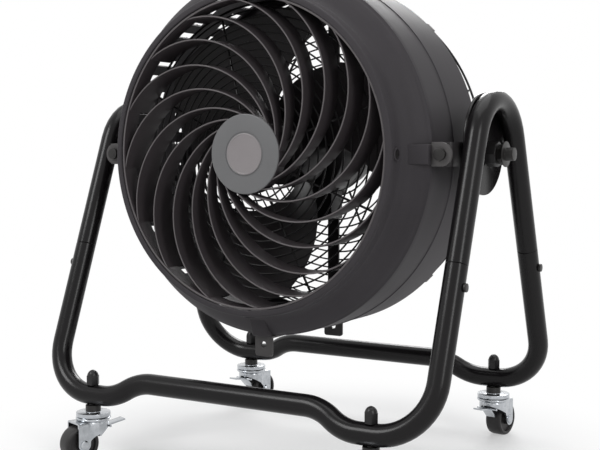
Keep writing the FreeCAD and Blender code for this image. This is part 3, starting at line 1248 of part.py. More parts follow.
def fan_blades():
    inner = "wheel_hub - hub_shell"
    hub = turned_shape([
        (SHAFT_HOLE, "-hub_front"), (inner, "-hub_front"), ("wheel_hub", "-hub_front + hub_shell"),
        ("wheel_hub", "hub_rear"), (inner, "hub_rear"), (inner, "-hub_front + 2 * hub_shell"),
        ("hub_core", "-hub_front + 2 * hub_shell"), ("hub_core", "hub_rear"), (SHAFT_HOLE, "hub_rear"),
    ])
    return place(shaped(hub.fuse(around(blade(), 0, BLADES))), **HEAD)


node(fan_blades(), "fan_blades")

doc.recompute()
broken = [thing.Label for thing in doc.Objects if {"Invalid", "Error"} & set(thing.State)]
if broken:
    raise RuntimeError(f"not worked out: {broken}")
os.makedirs("parts", exist_ok=True)
for thing in nodes:
    if thing.Shape.isNull() or not thing.Shape.isValid():
        raise RuntimeError(f"{thing.Label} has no valid shape")
    thing.Shape.exportStep(f"parts/{thing.Label}.step")
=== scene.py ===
import math

import bmesh
import bpy
from mathutils import Matrix, Vector


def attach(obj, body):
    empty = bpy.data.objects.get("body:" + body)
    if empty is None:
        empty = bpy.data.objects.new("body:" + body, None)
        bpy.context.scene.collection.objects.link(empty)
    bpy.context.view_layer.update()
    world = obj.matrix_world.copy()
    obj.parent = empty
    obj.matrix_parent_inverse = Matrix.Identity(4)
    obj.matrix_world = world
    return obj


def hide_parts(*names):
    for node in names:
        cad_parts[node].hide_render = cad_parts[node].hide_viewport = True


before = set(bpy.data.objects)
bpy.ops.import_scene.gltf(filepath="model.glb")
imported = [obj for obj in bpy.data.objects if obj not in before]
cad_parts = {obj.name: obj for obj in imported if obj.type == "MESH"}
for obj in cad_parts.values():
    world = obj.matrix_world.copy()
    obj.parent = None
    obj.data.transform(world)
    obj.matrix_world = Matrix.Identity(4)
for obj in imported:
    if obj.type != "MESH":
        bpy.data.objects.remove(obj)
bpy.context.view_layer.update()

# Lower frames: two lengths of round steel tube, each bent on a mandrel into a wide shallow U that leans
# with the legs. A seat on either side dips below the middle bar to take a caster's stem.
mm = 0.001
tube_radius = 14 * mm
tube_chamfer = 0.7 * mm
tube_sides = 40
lean = math.radians(20.54)
pivot_height = 420 * mm
leg_spread = 73.9 * mm
hoop_half_span = 290.5 * mm
tube_bend = 70 * mm
bar_rise = 24 * mm
seat_length = 22.5 * mm
seat_height = 75.4 * mm + tube_radius
splice_height = 288.5 * mm
foot_y = leg_spread + (pivot_height - seat_height) * math.tan(lean)


def bent_path(corners, radius, steps=14):
    """Points along straight runs joined by round bends at the corners between them."""
    path = [corners[0]]
    for before, corner, after in zip(corners, corners[1:], corners[2:]):
        back, ahead = (before - corner).normalized(), (after - corner).normalized()
        half = back.angle(ahead) / 2
        middle = corner + (back + ahead).normalized() * radius / math.sin(half)
        start = corner + back * radius / math.tan(half)
        axis = ahead.cross(back).normalized()
        for step in range(steps + 1):
            turn = Matrix.Rotation((math.pi - 2 * half) * step / steps, 3, axis)
            path.append(middle + turn @ (start - middle))
    return path + [corners[-1]]


def join_rings(shape, first, second):
    """Adds the faces between two rings that have as many corners."""
    for number in range(len(first)):
        after = (number + 1) % len(first)
        shape.faces.new((first[number], first[after], second[after], second[number]))


def sweep_rings(shape, path, section):
    """Adds a section, drawn as points (across, up), along a path to a bmesh."""
    count = len(path)
    tangents = []
    for number in range(count):
        before, after = path[max(number - 1, 0)], path[min(number + 1, count - 1)]
        tangents.append((after - before).normalized())
    across = tangents[0].orthogonal().normalized()
    rings = []
    for point, tangent in zip(path, tangents):
        across = (across - tangent * across.dot(tangent)).normalized()
        up = tangent.cross(across)
        outline = section(len(rings) / (count - 1))
        rings.append([shape.verts.new(point + across * x + up * y) for x, y in outline])
    for first, second in zip(rings, rings[1:]):
        join_rings(shape, first, second)
    shape.faces.new(rings[0][::-1])
    shape.faces.new(rings[-1])


def circle(radius, sides):
    return [(radius * math.cos(2 * math.pi * number / sides), radius * math.sin(2 * math.pi * number / sides))
            for number in range(sides)]


def finish_mesh(name, shape, material, body, *nodes, sharp=30):
    """Makes an object of a bmesh that rides on a body and stands for the CAD nodes named."""
    bmesh.ops.remove_doubles(shape, verts=shape.verts, dist=0.001 * mm)
    bmesh.ops.recalc_face_normals(shape, faces=shape.faces)
    mesh = bpy.data.meshes.new(name)
    shape.to_mesh(mesh)
    shape.free()
    mesh.shade_smooth()
    mesh.set_sharp_from_angle(angle=math.radians(sharp))
    piece = bpy.data.objects.new(name, mesh)
    bpy.context.scene.collection.objects.link(piece)
    mesh.materials.append(material)
    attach(piece, body)
    if nodes:
        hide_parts(*nodes)
    return piece


class Feed:
    """A value in a material's node tree. Arithmetic on feeds adds Math nodes to the tree."""

    def __init__(self, tree, socket=None):
        self.tree = tree
        self.socket = socket

    def node(self, kind, settings=None, inputs=None, output=0):
        """Adds a node: its settings first, then the values or feeds of its sockets."""
        made = self.tree.nodes.new(kind)
        for name, setting in (settings or {}).items():
            if name == "stops":
                for number, (place, shade) in enumerate(setting):
                    elements = made.color_ramp.elements
                    stop = elements[number] if number < 2 else elements.new(place)
                    stop.position = place
                    stop.color = (shade, shade, shade, 1)
            else:
                setattr(made, name, setting)
        for name, feed in (inputs or {}).items():
            if isinstance(feed, Feed):
                self.tree.links.new(feed.socket, made.inputs[name])
            else:
                made.inputs[name].default_value = feed
        return Feed(self.tree, made.outputs[output])

    def maths(self, operation, first, second):
        return self.node("ShaderNodeMath", {"operation": operation}, {0: first, 1: second})

    def __add__(self, other):
        return self.maths("ADD", self, other)

    def __mul__(self, other):
        return self.maths("MULTIPLY", self, other)

    def __sub__(self, other):
        return self.maths("SUBTRACT", self, other)

    def __rsub__(self, other):
        return self.maths("SUBTRACT", other, self)

    __radd__ = __add__
    __rmul__ = __mul__


def surface(name, paint, fixed):
    """A material whose fixed sockets have one value, and whose other sockets come from paint(place)."""
    material = bpy.data.materials.new(name)
    material.use_nodes = True
    tree = material.node_tree
    shader = tree.nodes["Principled BSDF"]
    for socket, setting in fixed.items():
        shader.inputs[socket].default_value = setting
    place = Feed(tree).node("ShaderNodeTexCoord", output="Object")
    for socket, feed in paint(place).items():
        tree.links.new(feed.socket, shader.inputs[socket])
    return material


def noise(place, scale, detail=2.0, roughness=0.5):
    """Soft irregular spots, scale of them to the metre, from 0 to 1."""
    return place.node("ShaderNodeTexNoise", {}, {"Vector": place, "Scale": scale, "Detail": detail,
                                                 "Roughness": roughness})


def blend_colour(mask, low, high):
    return mask.node("ShaderNodeMix", {"data_type": "RGBA"}, {0: mask, 6: low, 7: high}, 2)


def bump(height, depth, strength=1.0):
    return height.node("ShaderNodeBump", {}, {"Height": height, "Distance": depth, "Strength": strength},
                       "Normal")


def srgb(red, green, blue):
    """A colour as painted, from its 0 to 255 screen values."""
    return tuple(((part / 255 + 0.055) / 1.055) ** 2.4 for part in (red, green, blue)) + (1,)


def powder_coat(name, dark, light, roughness):
    """Baked powder: a faint orange-peel skin with slightly duller and shinier patches."""
    def paint(place):
        peel = noise(place, 620, 2.0)
        patches = noise(place, 9, 3.0)
        dust = noise(place, 2600, 1.0)
        return {
            "Base Color": blend_colour(patches * 0.7 + dust * 0.3, dark, light),
            "Roughness": patches * 0.12 + (roughness - 0.06) + dust * 0.05,
            "Normal": bump(peel * 0.8 + dust * 0.2, 0.04 * mm, 0.4),
        }
    return surface(name, paint, {"Specular IOR Level": 0.2})


stand_paint = powder_coat("stand_powder_coat", srgb(15, 14, 15), srgb(22, 20, 21), 0.21)


def stand_tube(name, node, corners):
    shape = bmesh.new()
    path = bent_path(corners, tube_bend)
    first, last = (path[1] - path[0]).normalized(), (path[-2] - path[-1]).normalized()
    path = [path[0], path[0] + first * tube_chamfer] + path[1:-1] + [path[-1] + last * tube_chamfer, path[-1]]
    end = 0.5 / (len(path) - 1)

    def section(share):
        return circle(tube_radius - (tube_chamfer if share < end or share > 1 - end else 0), tube_sides)
    sweep_rings(shape, path, section)
    return finish_mesh(name, shape, stand_paint, "stand", node)


splice_run = (splice_height - seat_height) / math.cos(lean)
sway = math.acos(1 - bar_rise / (2 * tube_bend))
seat_end = hoop_half_span - tube_bend - seat_length
kick = tube_bend * math.tan(sway / 2)
bar_end = seat_end - 2 * tube_bend * math.sin(sway)
for name, end in (("front_lower_frame", -1), ("rear_lower_frame", 1)):
    right = [(bar_end + kick, bar_rise), (seat_end - kick, 0), (hoop_half_span, 0),
             (hoop_half_span, splice_run)]
    flat = [(-x, run) for x, run in reversed(right)] + right
    stand_tube(f"{name}_tube", name, [
        Vector((x, end * (foot_y - run * math.sin(lean)), seat_height + run * math.cos(lean)))
        for x, run in flat])

# Hoops: a narrow upside-down U of the same tube on either side. Its legs meet the lower frames end to end
# over a hidden sleeve, with one button-head screw below each joint.
splice_y = leg_spread + (pivot_height - splice_height) * math.tan(lean)
peak_height = pivot_height + leg_spread / math.tan(lean)
for name, side in (("left_hoop", -1), ("right_hoop", 1)):
    x = side * hoop_half_span
    legs = [Vector((x, -splice_y, splice_height)), Vector((x, 0, peak_height)),
            Vector((x, splice_y, splice_height))]
    stand_tube(f"{name}_tube", name, legs)


broken_edge_angle = math.radians(30)


def machined(node, body, material, edge):
    """A piece of its CAD shape, with whole flat faces and its sharp edges broken as a maker breaks them."""
    shape = bmesh.new()
    shape.from_mesh(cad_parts[node].data)
    bmesh.ops.remove_doubles(shape, verts=shape.verts, dist=0.002 * mm)
    bmesh.ops.dissolve_limit(shape, angle_limit=math.radians(1), verts=shape.verts, edges=shape.edges)
    corners = [line for line in shape.edges
               if len(line.link_faces) == 2 and line.calc_face_angle(0) > broken_edge_angle]
    bmesh.ops.bevel(shape, geom=corners, offset=edge, segments=2, profile=0.6, affect="EDGES",
                    clamp_overlap=True)
    return finish_mesh(f"{node}_piece", shape, material, body, node)


def plated_steel(name, dark, light, roughness):
    """Bright zinc: a cool metal with cloudy patches and fine drawing marks."""
    def paint(place):
        clouds = noise(place, 140, 3.0)
        grains = noise(place, 1500, 2.0)
        return {
            "Base Color": blend_colour(clouds, dark, light),
            "Roughness": clouds * 0.16 + grains * 0.08 + (roughness - 0.12),
            "Normal": bump(grains, 0.02 * mm, 0.4),
        }
    return surface(name, paint, {"Metallic": 1.0})


def black_steel(name, roughness):
    """Black oxide on steel: nearly black, oily, with brown-grey rubbed spots."""
    def paint(place):
        rubbed = noise(place, 260, 4.0)
        grains = noise(place, 1900, 1.0)
        return {
            "Base Color": blend_colour(rubbed, srgb(20, 19, 19), srgb(44, 42, 41)),
            "Roughness": rubbed * 0.2 + (roughness - 0.1),
            "Normal": bump(grains, 0.02 * mm, 0.4),
        }
    return surface(name, paint, {"Metallic": 0.35})


bright_zinc = plated_steel("bright_zinc", srgb(150, 154, 158), srgb(206, 209, 213), 0.2)
black_screws = black_steel("black_oxide", 0.4)
machined("splice_sleeves", "stand", bright_zinc, 0.3 * mm)
machined("splice_screws", "stand", black_screws, 0.9 * mm)

# Pivot plates: round steel plates welded inside the tops of the hoops, painted with the stand.
# The pivot bolts turn in them.
for side in ("left", "right"):
    machined(f"{side}_pivot_plate", "stand", stand_paint, 1.2 * mm)

# Caster stems and cap nuts: zinc-plated upper rings of the ball races on black stems with a collar, passed up
# through the seats of the lower frames and closed with black domed nuts.
race_top = 66 * mm


def moulded(name, dark, light, roughness, grain=1500, depth=0.04, wear=0.0):
    """Moulded plastic: an even spark-eroded grain, cloudy gloss, and paler where hands and edges rub it."""
    def paint(place):
        clouds = noise(place, 16, 3.0)
        pits = noise(place, grain, 2.0, 0.6)
        scuffs = noise(place, 75, 5.0, 0.7)
        rubbed = scuffs.node("ShaderNodeValToRGB", {"stops": ((0.56, 0.0), (0.74, 1.0))}, {"Fac": scuffs})
        return {
            "Base Color": blend_colour(clouds * 0.55 + pits * 0.3 + rubbed * wear, dark, light),
            "Roughness": clouds * 0.1 + pits * 0.08 + (roughness - 0.09) + rubbed * (0.3 * wear),
            "Normal": bump(pits, depth * mm, 0.6),
        }
    return surface(name, paint, {"Specular IOR Level": 0.3})


nut_plastic = moulded("nut_black_plastic", srgb(20, 19, 20), srgb(36, 35, 36), 0.33, 900, 0.02)
stems = machined("caster_stems", "stand", bright_zinc, 0.7 * mm)
stems.data.materials.append(black_screws)
for face in stems.data.polygons:
    face.material_index = int(face.center.z > race_top + 0.5 * mm)
machined("caster_cap_nuts", "stand", nut_plastic, 0.8 * mm)

# Caster forks: pressed and zinc-plated steel, a round crown that runs down into two flat cheeks, with the
# lower ring of the ball race on top and the wheel's axle riveted across.
caster_x = 215 * mm
front_heading, rear_heading = 250, 82
wheel_radius, wheel_trail = 25 * mm, 22 * mm
fork_top, fork_crown_round = 55.5 * mm, 3 * mm
fork_sheet, fork_half_width = 2.4 * mm, 16 * mm
fork_round, fork_eye = 20.5 * mm, 9 * mm
arch_centre, arch_radius = (-18.4 * mm, -1.4 * mm), 44 * mm
mouth_top, mouth_side = 50 * mm, 38.6 * mm
fork_rows = 7
fork_flare_end, eye_side_share = 16 * mm, 0.98
cheek_stops = [stop * mm for stop in (20, 18, 16, 14, 13.2, 12.8, 10, 6)]
caster_places = {}
for end_name, end, heading in (("front", -1, front_heading), ("rear", 1, rear_heading)):
    for side_name, side in (("left", -1), ("right", 1)):
        spot = Matrix.Translation((side * caster_x, end * foot_y, 0))
        caster_places[f"{end_name}_{side_name}"] = spot @ Matrix.Rotation(math.radians(heading), 4, "Z")


def lathe(shape, profile, place, segments=64, closed=True):
    """Adds a form turned about the Z axis of a placing matrix to a bmesh, from points (radius, height)."""
    rings = []
    for radius, height in profile:
        ring = circle(radius, segments) if radius else [(0, 0)]
        rings.append([shape.verts.new(place @ Vector((x, y, height))) for x, y in ring])
    for first, second in list(zip(rings, rings[1:])) + ([(rings[-1], rings[0])] if closed else []):
        if len(first) == len(second):
            join_rings(shape, first, second)
            continue
        for number in range(segments):
            after = (number + 1) % segments
            if len(first) == 1:
                shape.faces.new((first[0], second[after], second[number]))
            else:
                shape.faces.new((first[number], first[after], second[0]))


def rounded(corners, radius, steps=4):
    """The corners of an outline, each cut back and rounded."""
    points = [Vector(corner) for corner in corners]
    outline = []
    for number, corner in enumerate(points):
        back = points[number - 1] - corner
        ahead = points[(number + 1) % len(points)] - corner
        reach = min(radius, back.length * 0.45, ahead.length * 0.45)
        start, stop = corner + back.normalized() * reach, corner + ahead.normalized() * reach
        for step in range(steps + 1):
            share = step / steps
            outline.append((start.lerp(corner, share)).lerp(corner.lerp(stop, share), share))
    return [tuple(point) for point in outline]


def fork_plan():
    """The fork's outline from above, from the rear of one cheek round the front to the other's rear."""
    eye_end = wheel_trail + fork_eye
    cheek = [eye_end - fork_eye * (1 - math.cos(math.pi / 2 * step / 6)) for step in range(7)]
    cheek += cheek_stops
    flare = [(x, fork_half_width + (fork_round - fork_half_width) * max(0, 1 - x / fork_flare_end) ** 2)
             for x in cheek]
    nose = [(fork_round * math.cos(math.radians(angle)), fork_round * math.sin(math.radians(angle)))
            for angle in range(84, 180, 8)] + [(-fork_round, 0)]
    half = flare + nose
    return half + [(x, -y) for x, y in reversed(half[:-1])]


def fork_low(x, y):
    """Height of the lower edge: the eye round the axle, the arch over the wheel, the oval mouth in front."""
    if x >= wheel_trail - eye_side_share * fork_eye:
        return wheel_radius - math.sqrt(max(fork_eye ** 2 - (x - wheel_trail) ** 2, 0))
    if x < 0:
        return mouth_side + (mouth_top - mouth_side) * math.sqrt(max(0, 1 - (y / fork_round) ** 2))
    return arch_centre[1] + math.sqrt(arch_radius ** 2 - (x - arch_centre[0]) ** 2)


across_axle = Matrix.Rotation(math.pi / 2, 4, "X")
axle_middle = Matrix.Translation((wheel_trail, 0, wheel_radius)) @ across_axle
crown_steps = ((1.0, 0.0), (0.29, 0.29))
lower_race = rounded([(6 * mm, fork_top), (23 * mm, fork_top), (24 * mm, 57 * mm), (24 * mm, 59 * mm),
                      (22 * mm, 60 * mm), (6 * mm, 60 * mm)], 1.2 * mm)
rivet_half = [(0, -18.5 * mm), (4.5 * mm, -18.4 * mm), (6.3 * mm, -17 * mm), (6.5 * mm, -16 * mm),
              (4 * mm, -16 * mm)]
rivet = rivet_half + [(radius, -height) for radius, height in reversed(rivet_half)]
for name, place in caster_places.items():
    shape = bmesh.new()
    columns = []
    for x, y in fork_plan():
        low, high = fork_low(x, y), fork_top - fork_crown_round
        centre = max(x, 0)
        column = []
        for inset, drop in crown_steps:
            inward = 1 - inset * fork_crown_round / math.hypot(x - centre, y)
            column.append(shape.verts.new(place @ Vector((centre + (x - centre) * inward, y * inward,
                                                          fork_top - drop * fork_crown_round))))
        column += [shape.verts.new(place @ Vector((x, y, high + (low - high) * row / fork_rows)))
                   for row in range(fork_rows + 1)]
        columns.append(column)
    for first, second in zip(columns, columns[1:]):
        for number in range(len(first) - 1):
            shape.faces.new((first[number], second[number], second[number + 1], first[number + 1]))
    shape.faces.new([column[0] for column in columns])
    bmesh.ops.remove_doubles(shape, verts=shape.verts, dist=0.01 * mm)
    bmesh.ops.recalc_face_normals(shape, faces=shape.faces)
    bmesh.ops.solidify(shape, geom=shape.faces[:], thickness=fork_sheet)
    lathe(shape, lower_race, place)
    lathe(shape, rivet, place @ axle_middle, 32, closed=False)
    finish_mesh(f"{name}_caster_fork_pressing", shape, bright_zinc, f"{name}_caster", f"{name}_caster_fork")

# Caster wheels: solid black plastic wheels with a crowned tread, a dished web and a hub that runs on the axle.
wheel_plastic = moulded("wheel_black_plastic", srgb(26, 25, 26), srgb(52, 50, 50), 0.42, 800, 0.05, 0.35)
half_tread, web_half = 12 * mm, 8.5 * mm
tread_side = [(4.1 * mm, half_tread), (8 * mm, half_tread), (8.6 * mm, web_half), (18 * mm, web_half),
              (19 * mm, half_tread - 0.4 * mm), (20 * mm, half_tread), (22 * mm, half_tread),
              (23.9 * mm, half_tread - 1.1 * mm), (24.7 * mm, half_tread - 3.2 * mm),
              (wheel_radius, half_tread / 2)]
other_side = [(radius, -height) for radius, height in reversed(tread_side)]
for name, place in caster_places.items():
    shape = bmesh.new()
    lathe(shape, tread_side + [(wheel_radius, 0)] + other_side, place @ axle_middle)
    finish_mesh(f"{name}_caster_wheel_moulding", shape, wheel_plastic, f"{name}_wheel",
                f"{name}_caster_wheel")

# Brake pedals: bent zinc-plated levers on a pin between the fork's cheeks. The outer end is trodden down and
# the shoe at the other end swings against the tread.
for name in caster_places:
    machined(f"{name}_brake_pedal", f"{name}_pedal", bright_zinc, 0.6 * mm)

# Drum housing: one moulding of dark grey plastic that flares from a rolled front rim to a sharp rear edge. It
# has two raised seams, a flat boss for each lug, a round pad for each grille screw, and air slots on the left.
drum_front, drum_rear, drum_sheet = -145 * mm, 52 * mm, 3 * mm
rim_radius, drum_radius = 213.6 * mm, 244.3 * mm
rim_bore, rear_bore = 205 * mm, 224.3 * mm
profile_shares = ((0.02, 0.0), (0.09, -0.01), (0.118, 0.03), (0.15, 0.22), (0.19, 0.55), (0.235, 0.87),
                  (0.27, 0.97), (0.32, 0.99), (0.6, 1.0), (1.0, 1.0))
seam_shares, seam_height, seam_width = (0.27, 0.6), 1.1 * mm, 3 * mm
slot_rows = ((-74 * mm, -18 * mm), (18 * mm, 44 * mm))
slot_first, slot_last, slot_pitch = 117, 243, 6
column_step = 1.2
boss_half, boss_top = 12.5 * mm, 244.8 * mm
boss_front, boss_shoulder, boss_rear = -118 * mm, -106 * mm, -58 * mm
boss_sink, boss_round = 2 * mm, 1.6 * mm
screw_pad_y, screw_pad_radius, screw_pad_bore = -131 * mm, 8.5 * mm, 6.2 * mm
screw_pad_sink, screw_pad_depth, screw_pad_round = 1 * mm, 3.2 * mm, 0.7 * mm
axis_turn = Matrix.Translation((0, 0, pivot_height)) @ Matrix.Rotation(-math.pi / 2, 4, "X")


def drum_skin(y):
    """Radius of the housing's outside at a place along the fan's axis, on a smooth curve."""
    places = [drum_front + share * (drum_rear - drum_front) for share, flare in profile_shares]
    radii = [rim_radius + flare * (drum_radius - rim_radius) for share, flare in profile_shares]
    spot = max(number for number in range(len(places) - 1) if number == 0 or places[number] <= y + 0.001 * mm)
    slopes = []
    for number in (spot, spot + 1):
        low, high = max(number - 1, 0), min(number + 1, len(radii) - 1)
        slopes.append((radii[high] - radii[low]) / (places[high] - places[low]))
    width = places[spot + 1] - places[spot]
    share = min(max((y - places[spot]) / width, 0), 1)
    ease = share * share * (3 - 2 * share)
    return (radii[spot] * (1 - ease) + radii[spot + 1] * ease
            + width * slopes[0] * share * (1 - share) ** 2 - width * slopes[1] * share ** 2 * (1 - share))


def drum_point(radius, y, angle):
    """A point round the fan's axis. The angle is in degrees, anticlockwise from the right from in front."""
    turn = math.radians(angle)
    return Vector((radius * math.cos(turn), y, pivot_height + radius * math.sin(turn)))


def drum_profile():
    """Points (radius, y) from the bore of the front rim over the outside to the bore of the rear rim."""
    length = drum_rear - drum_front
    rim = [(rim_bore, drum_front + drum_sheet), (rim_bore, drum_front + 1 * mm),
           (rim_bore + 1 * mm, drum_front), (rim_radius - 3.2 * mm, drum_front),
           (rim_radius - 1.4 * mm, drum_front + 0.6 * mm), (rim_radius - 0.3 * mm, drum_front + 1.9 * mm)]
    stops = {drum_front + share * length for share, flare in profile_shares}
    stops |= {edge for row in slot_rows for edge in row}
    stops |= {drum_front + 4 * mm + (length - 8 * mm) * step / 40 for step in range(41)}
    body = []
    for y in sorted(stops):
        middles = [drum_front + seam * length - seam_width / 2 for seam in seam_shares]
        if all(abs(middle - y) >= seam_width for middle in middles):
            body.append((drum_skin(y), y))
    for seam in seam_shares:
        y = drum_front + seam * length
        body += [(drum_skin(y - seam_width * back) + seam_height * lift, y - seam_width * back)
                 for back, lift in ((1.05, 0), (0.85, 0.75), (0.6, 1), (0.4, 1), (0.15, 0.75), (-0.05, 0))]
    body.sort(key=lambda point: point[1])
    edge = [(drum_radius, drum_rear + drum_sheet - 0.6 * mm), (drum_radius - 0.8 * mm, drum_rear + drum_sheet),
            (rear_bore, drum_rear + drum_sheet)]
    return rim + body + edge


def in_slot(angle, y):
    if not any(low - 0.01 * mm < y < high + 0.01 * mm for low, high in slot_rows):
        return False
    steps, last = (angle - slot_first) / slot_pitch, (slot_last - slot_first) / slot_pitch
    return -0.2 < steps < last + 0.2 and abs(steps - round(steps)) * slot_pitch < column_step


def housing_plastic(name, dark, light, roughness):
    """The housing's moulding: coarse even grain, soft flow marks round the drum and dust in the grain."""
    def paint(place):
        clouds = noise(place, 11, 6.0, 0.6)
        pits = noise(place, 900, 2.0, 0.65)
        flow = place.node("ShaderNodeMapping", {}, {"Vector": place, "Scale": (1, 14, 1)})
        marks = noise(flow, 9, 4.0, 0.6)
        return {
            "Base Color": blend_colour(clouds * 0.4 + marks * 0.3 + pits * 0.3, dark, light),
            "Roughness": clouds * 0.1 + marks * 0.1 + pits * 0.06 + (roughness - 0.13),
            "Normal": bump(pits + marks * 0.3, 0.06 * mm, 0.6),
        }
    return surface(name, paint, {"Specular IOR Level": 0.1})


drum_plastic = housing_plastic("drum_grey_plastic", srgb(42, 40, 42), srgb(74, 71, 74), 0.5)
shape = bmesh.new()
columns = round(360 / column_step)
half_step = column_step / 2
profile = drum_profile()
rings = [[shape.verts.new(drum_point(radius, y, half_step + number * column_step)) for number in range(columns)]
         for radius, y in profile]
for (radius, near_y), (_, far_y), near, far in zip(profile, profile[1:], rings, rings[1:]):
    for number in range(columns):
        angle = half_step + (number + 0.5) * column_step
        if in_slot(angle, (near_y + far_y) / 2) and radius > rim_bore:
            continue
        after = (number + 1) % columns
        shape.faces.new((near[number], near[after], far[after], far[number]))
bmesh.ops.recalc_face_normals(shape, faces=shape.faces)
probe = shape.faces[len(shape.faces) // 2]
if probe.normal.dot(probe.calc_center_median() - Vector((0, 0, pivot_height))) < 0:
    bmesh.ops.reverse_faces(shape, faces=shape.faces)
bmesh.ops.solidify(shape, geom=shape.faces[:], thickness=drum_sheet)
for quarter in range(4):
    angle = 90 * quarter
    turn = Matrix.Translation((0, 0, pivot_height)) @ Matrix.Rotation(math.radians(90 - angle), 4, "Y")
    side_view = [(boss_front, rim_radius - boss_sink / 2), (boss_rear, drum_skin(boss_rear) - boss_sink),
                 (boss_rear, boss_top), (boss_shoulder, boss_top)]
    block = bmesh.new()
    flanks = [[block.verts.new((x, y, radius)) for y, radius in side_view] for x in (-boss_half, boss_half)]
    block.faces.new(flanks[0])
    block.faces.new(flanks[1][::-1])
    for number in range(len(side_view)):
        after = (number + 1) % len(side_view)
        block.faces.new((flanks[0][number], flanks[1][number], flanks[1][after], flanks[0][after]))
    bmesh.ops.recalc_face_normals(block, faces=block.faces)
    bmesh.ops.bevel(block, geom=block.edges[:], offset=boss_round, segments=3, profile=0.5, affect="EDGES")
    bmesh.ops.transform(block, matrix=turn, verts=block.verts)
    mesh = bpy.data.meshes.new("boss")
    block.to_mesh(mesh)
    block.free()
    shape.from_mesh(mesh)
    bpy.data.meshes.remove(mesh)
    pad_seat = drum_skin(screw_pad_y) - screw_pad_sink
    pad_face = pad_seat + screw_pad_depth
    pad = rounded([(screw_pad_bore, pad_seat), (screw_pad_radius, pad_seat), (screw_pad_radius, pad_face),
                   (screw_pad_bore, pad_face)], screw_pad_round)
    lathe(shape, pad, turn @ Matrix.Translation((0, screw_pad_y, 0)), 40)
finish_mesh("drum_housing_moulding", shape, drum_plastic, "head", "drum_housing", sharp=35)

# Front lugs: short straps of grey-painted steel on the housing's bosses, each bent up into a tab with one hole.
# The tabs are square at the top and bottom, and round at the sides, where they carry the pivot brackets.
lug_paint = powder_coat("lug_grey_paint", srgb(70, 68, 68), srgb(88, 86, 86), 0.44)
for side in ("top", "bottom", "left", "right"):
    machined(f"{side}_front_lug", "head", lug_paint, 0.7 * mm)

# Front grille: one dark plastic moulding of a deep ring, a hub cup and sixteen swept vanes. Each vane follows
# part of a circle and grows deeper towards the ring, to which it turns the air.
ring_bore, ring_radius = 201.4 * mm, 204.6 * mm
ring_front, ring_rear = -142.5 * mm, -117 * mm
hub_radius, hub_sheet = 52.4 * mm, 2.5 * mm
hub_front, hub_rear = -141.6 * mm, -123.6 * mm
vane_count, vane_sheet, vane_steps = 16, 2.4 * mm, 36
vane_front, vane_root_depth, vane_tip_depth = -141 * mm, 16 * mm, 46 * mm
vane_root, vane_tip = 51.2 * mm, 203 * mm
sweep_radius, sweep_offset, sweep_bearing = 128.4 * mm, 86.2 * mm, 141.6


def vane_back(radius):
    share = (radius - hub_radius) / (ring_bore - hub_radius)
    return vane_front + vane_root_depth + (vane_tip_depth - vane_root_depth) * share


def vane_section(radius):
    """Points (across, y) round a vane: a rounded front edge, and slightly broken corners at the back."""
    half, broken, back = vane_sheet / 2, 0.4 * mm, vane_back(radius)
    front = [(half * math.cos(math.radians(angle)), vane_front + half * (1 - math.sin(math.radians(angle))))
             for angle in range(0, 181, 30)]
    return front + [(-half, back - broken), (broken - half, back), (half - broken, back), (half, back - broken)]


def plastic_with_painted_highlight(name, dark, light, painted_highlight_colour, roughness):
    """The housing's plastic with a painted highlight: faces that look forward are painted paler than the rest.
    """
    def paint(place):
        clouds = noise(place, 9, 4.0)
        pits = noise(place, 1100, 2.0, 0.65)
        turned = place.node("ShaderNodeTexCoord", output="Normal")
        forward = turned.node("ShaderNodeSeparateXYZ", {}, {0: turned}, 1)
        # Painted highlight: the more a face looks forward, towards the front lamps, the paler its colour is
        # painted.
        painted_highlight_mask = forward.node("ShaderNodeValToRGB", {"stops": ((0.45, 0.0), (0.85, 1.0))}, {"Fac": 0 - forward})
        plain = blend_colour(clouds * 0.6 + pits * 0.4, dark, light)
        return {
            "Base Color": blend_colour(painted_highlight_mask * (clouds * 0.4 + 0.7), plain, painted_highlight_colour),
            "Roughness": clouds * 0.12 + pits * 0.06 + (roughness - 0.1) - painted_highlight_mask * 0.06,
            "Normal": bump(pits, 0.04 * mm, 0.5),
        }
    return surface(name, paint, {"Specular IOR Level": 0.22})


# The third colour is a painted highlight on the faces of the grille that look forward.
grille_plastic = plastic_with_painted_highlight("grille_black_plastic", srgb(50, 46, 48), srgb(64, 59, 61),
                                srgb(98, 94, 95), 0.44)
shape = bmesh.new()
ring_outline = rounded([(ring_bore, ring_front), (ring_radius, ring_front), (ring_radius, ring_rear),
                        (ring_bore, ring_rear)], 1.1 * mm)
lathe(shape, ring_outline, axis_turn, 240)
lathe(shape, [(0, hub_front), (hub_radius - 0.5 * mm, hub_front), (hub_radius, hub_front + 0.5 * mm),
              (hub_radius, hub_rear - 0.6 * mm), (hub_radius - 0.6 * mm, hub_rear),
              (hub_radius - hub_sheet, hub_rear), (hub_radius - hub_sheet, hub_front + hub_sheet),
              (0, hub_front + hub_sheet)], axis_turn, 128, closed=False)
for number in range(vane_count):
    bearing = math.radians(sweep_bearing + number * 360 / vane_count)
    rings = []
    for step in range(vane_steps + 1):
        radius = vane_root + (vane_tip - vane_root) * step / vane_steps
        swing = bearing - math.acos((radius ** 2 - sweep_offset ** 2 - sweep_radius ** 2)
                                    / (2 * sweep_offset * sweep_radius))
        ring = []
        for across, y in vane_section(radius):
            reach = sweep_radius + across
            x = sweep_offset * math.cos(bearing) + reach * math.cos(swing)
            z = pivot_height + sweep_offset * math.sin(bearing) + reach * math.sin(swing)
            ring.append(shape.verts.new((x, y, z)))
        rings.append(ring)
    for first, second in zip(rings, rings[1:]):
        join_rings(shape, first, second)
    shape.faces.new(rings[0])
    shape.faces.new(rings[-1][::-1])
finish_mesh("front_grille_moulding", shape, grille_plastic, "head", "front_grille", sharp=40)
machined("grille_screws", "head", black_screws, 0.6 * mm)

# Hub cap and badge plate: a flat satin grey disc snapped on the grille's hub, with a bare round plate stuck in
# its middle.
cap_front, badge_front, badge_radius = -143.6 * mm, -144.8 * mm, 27.2 * mm


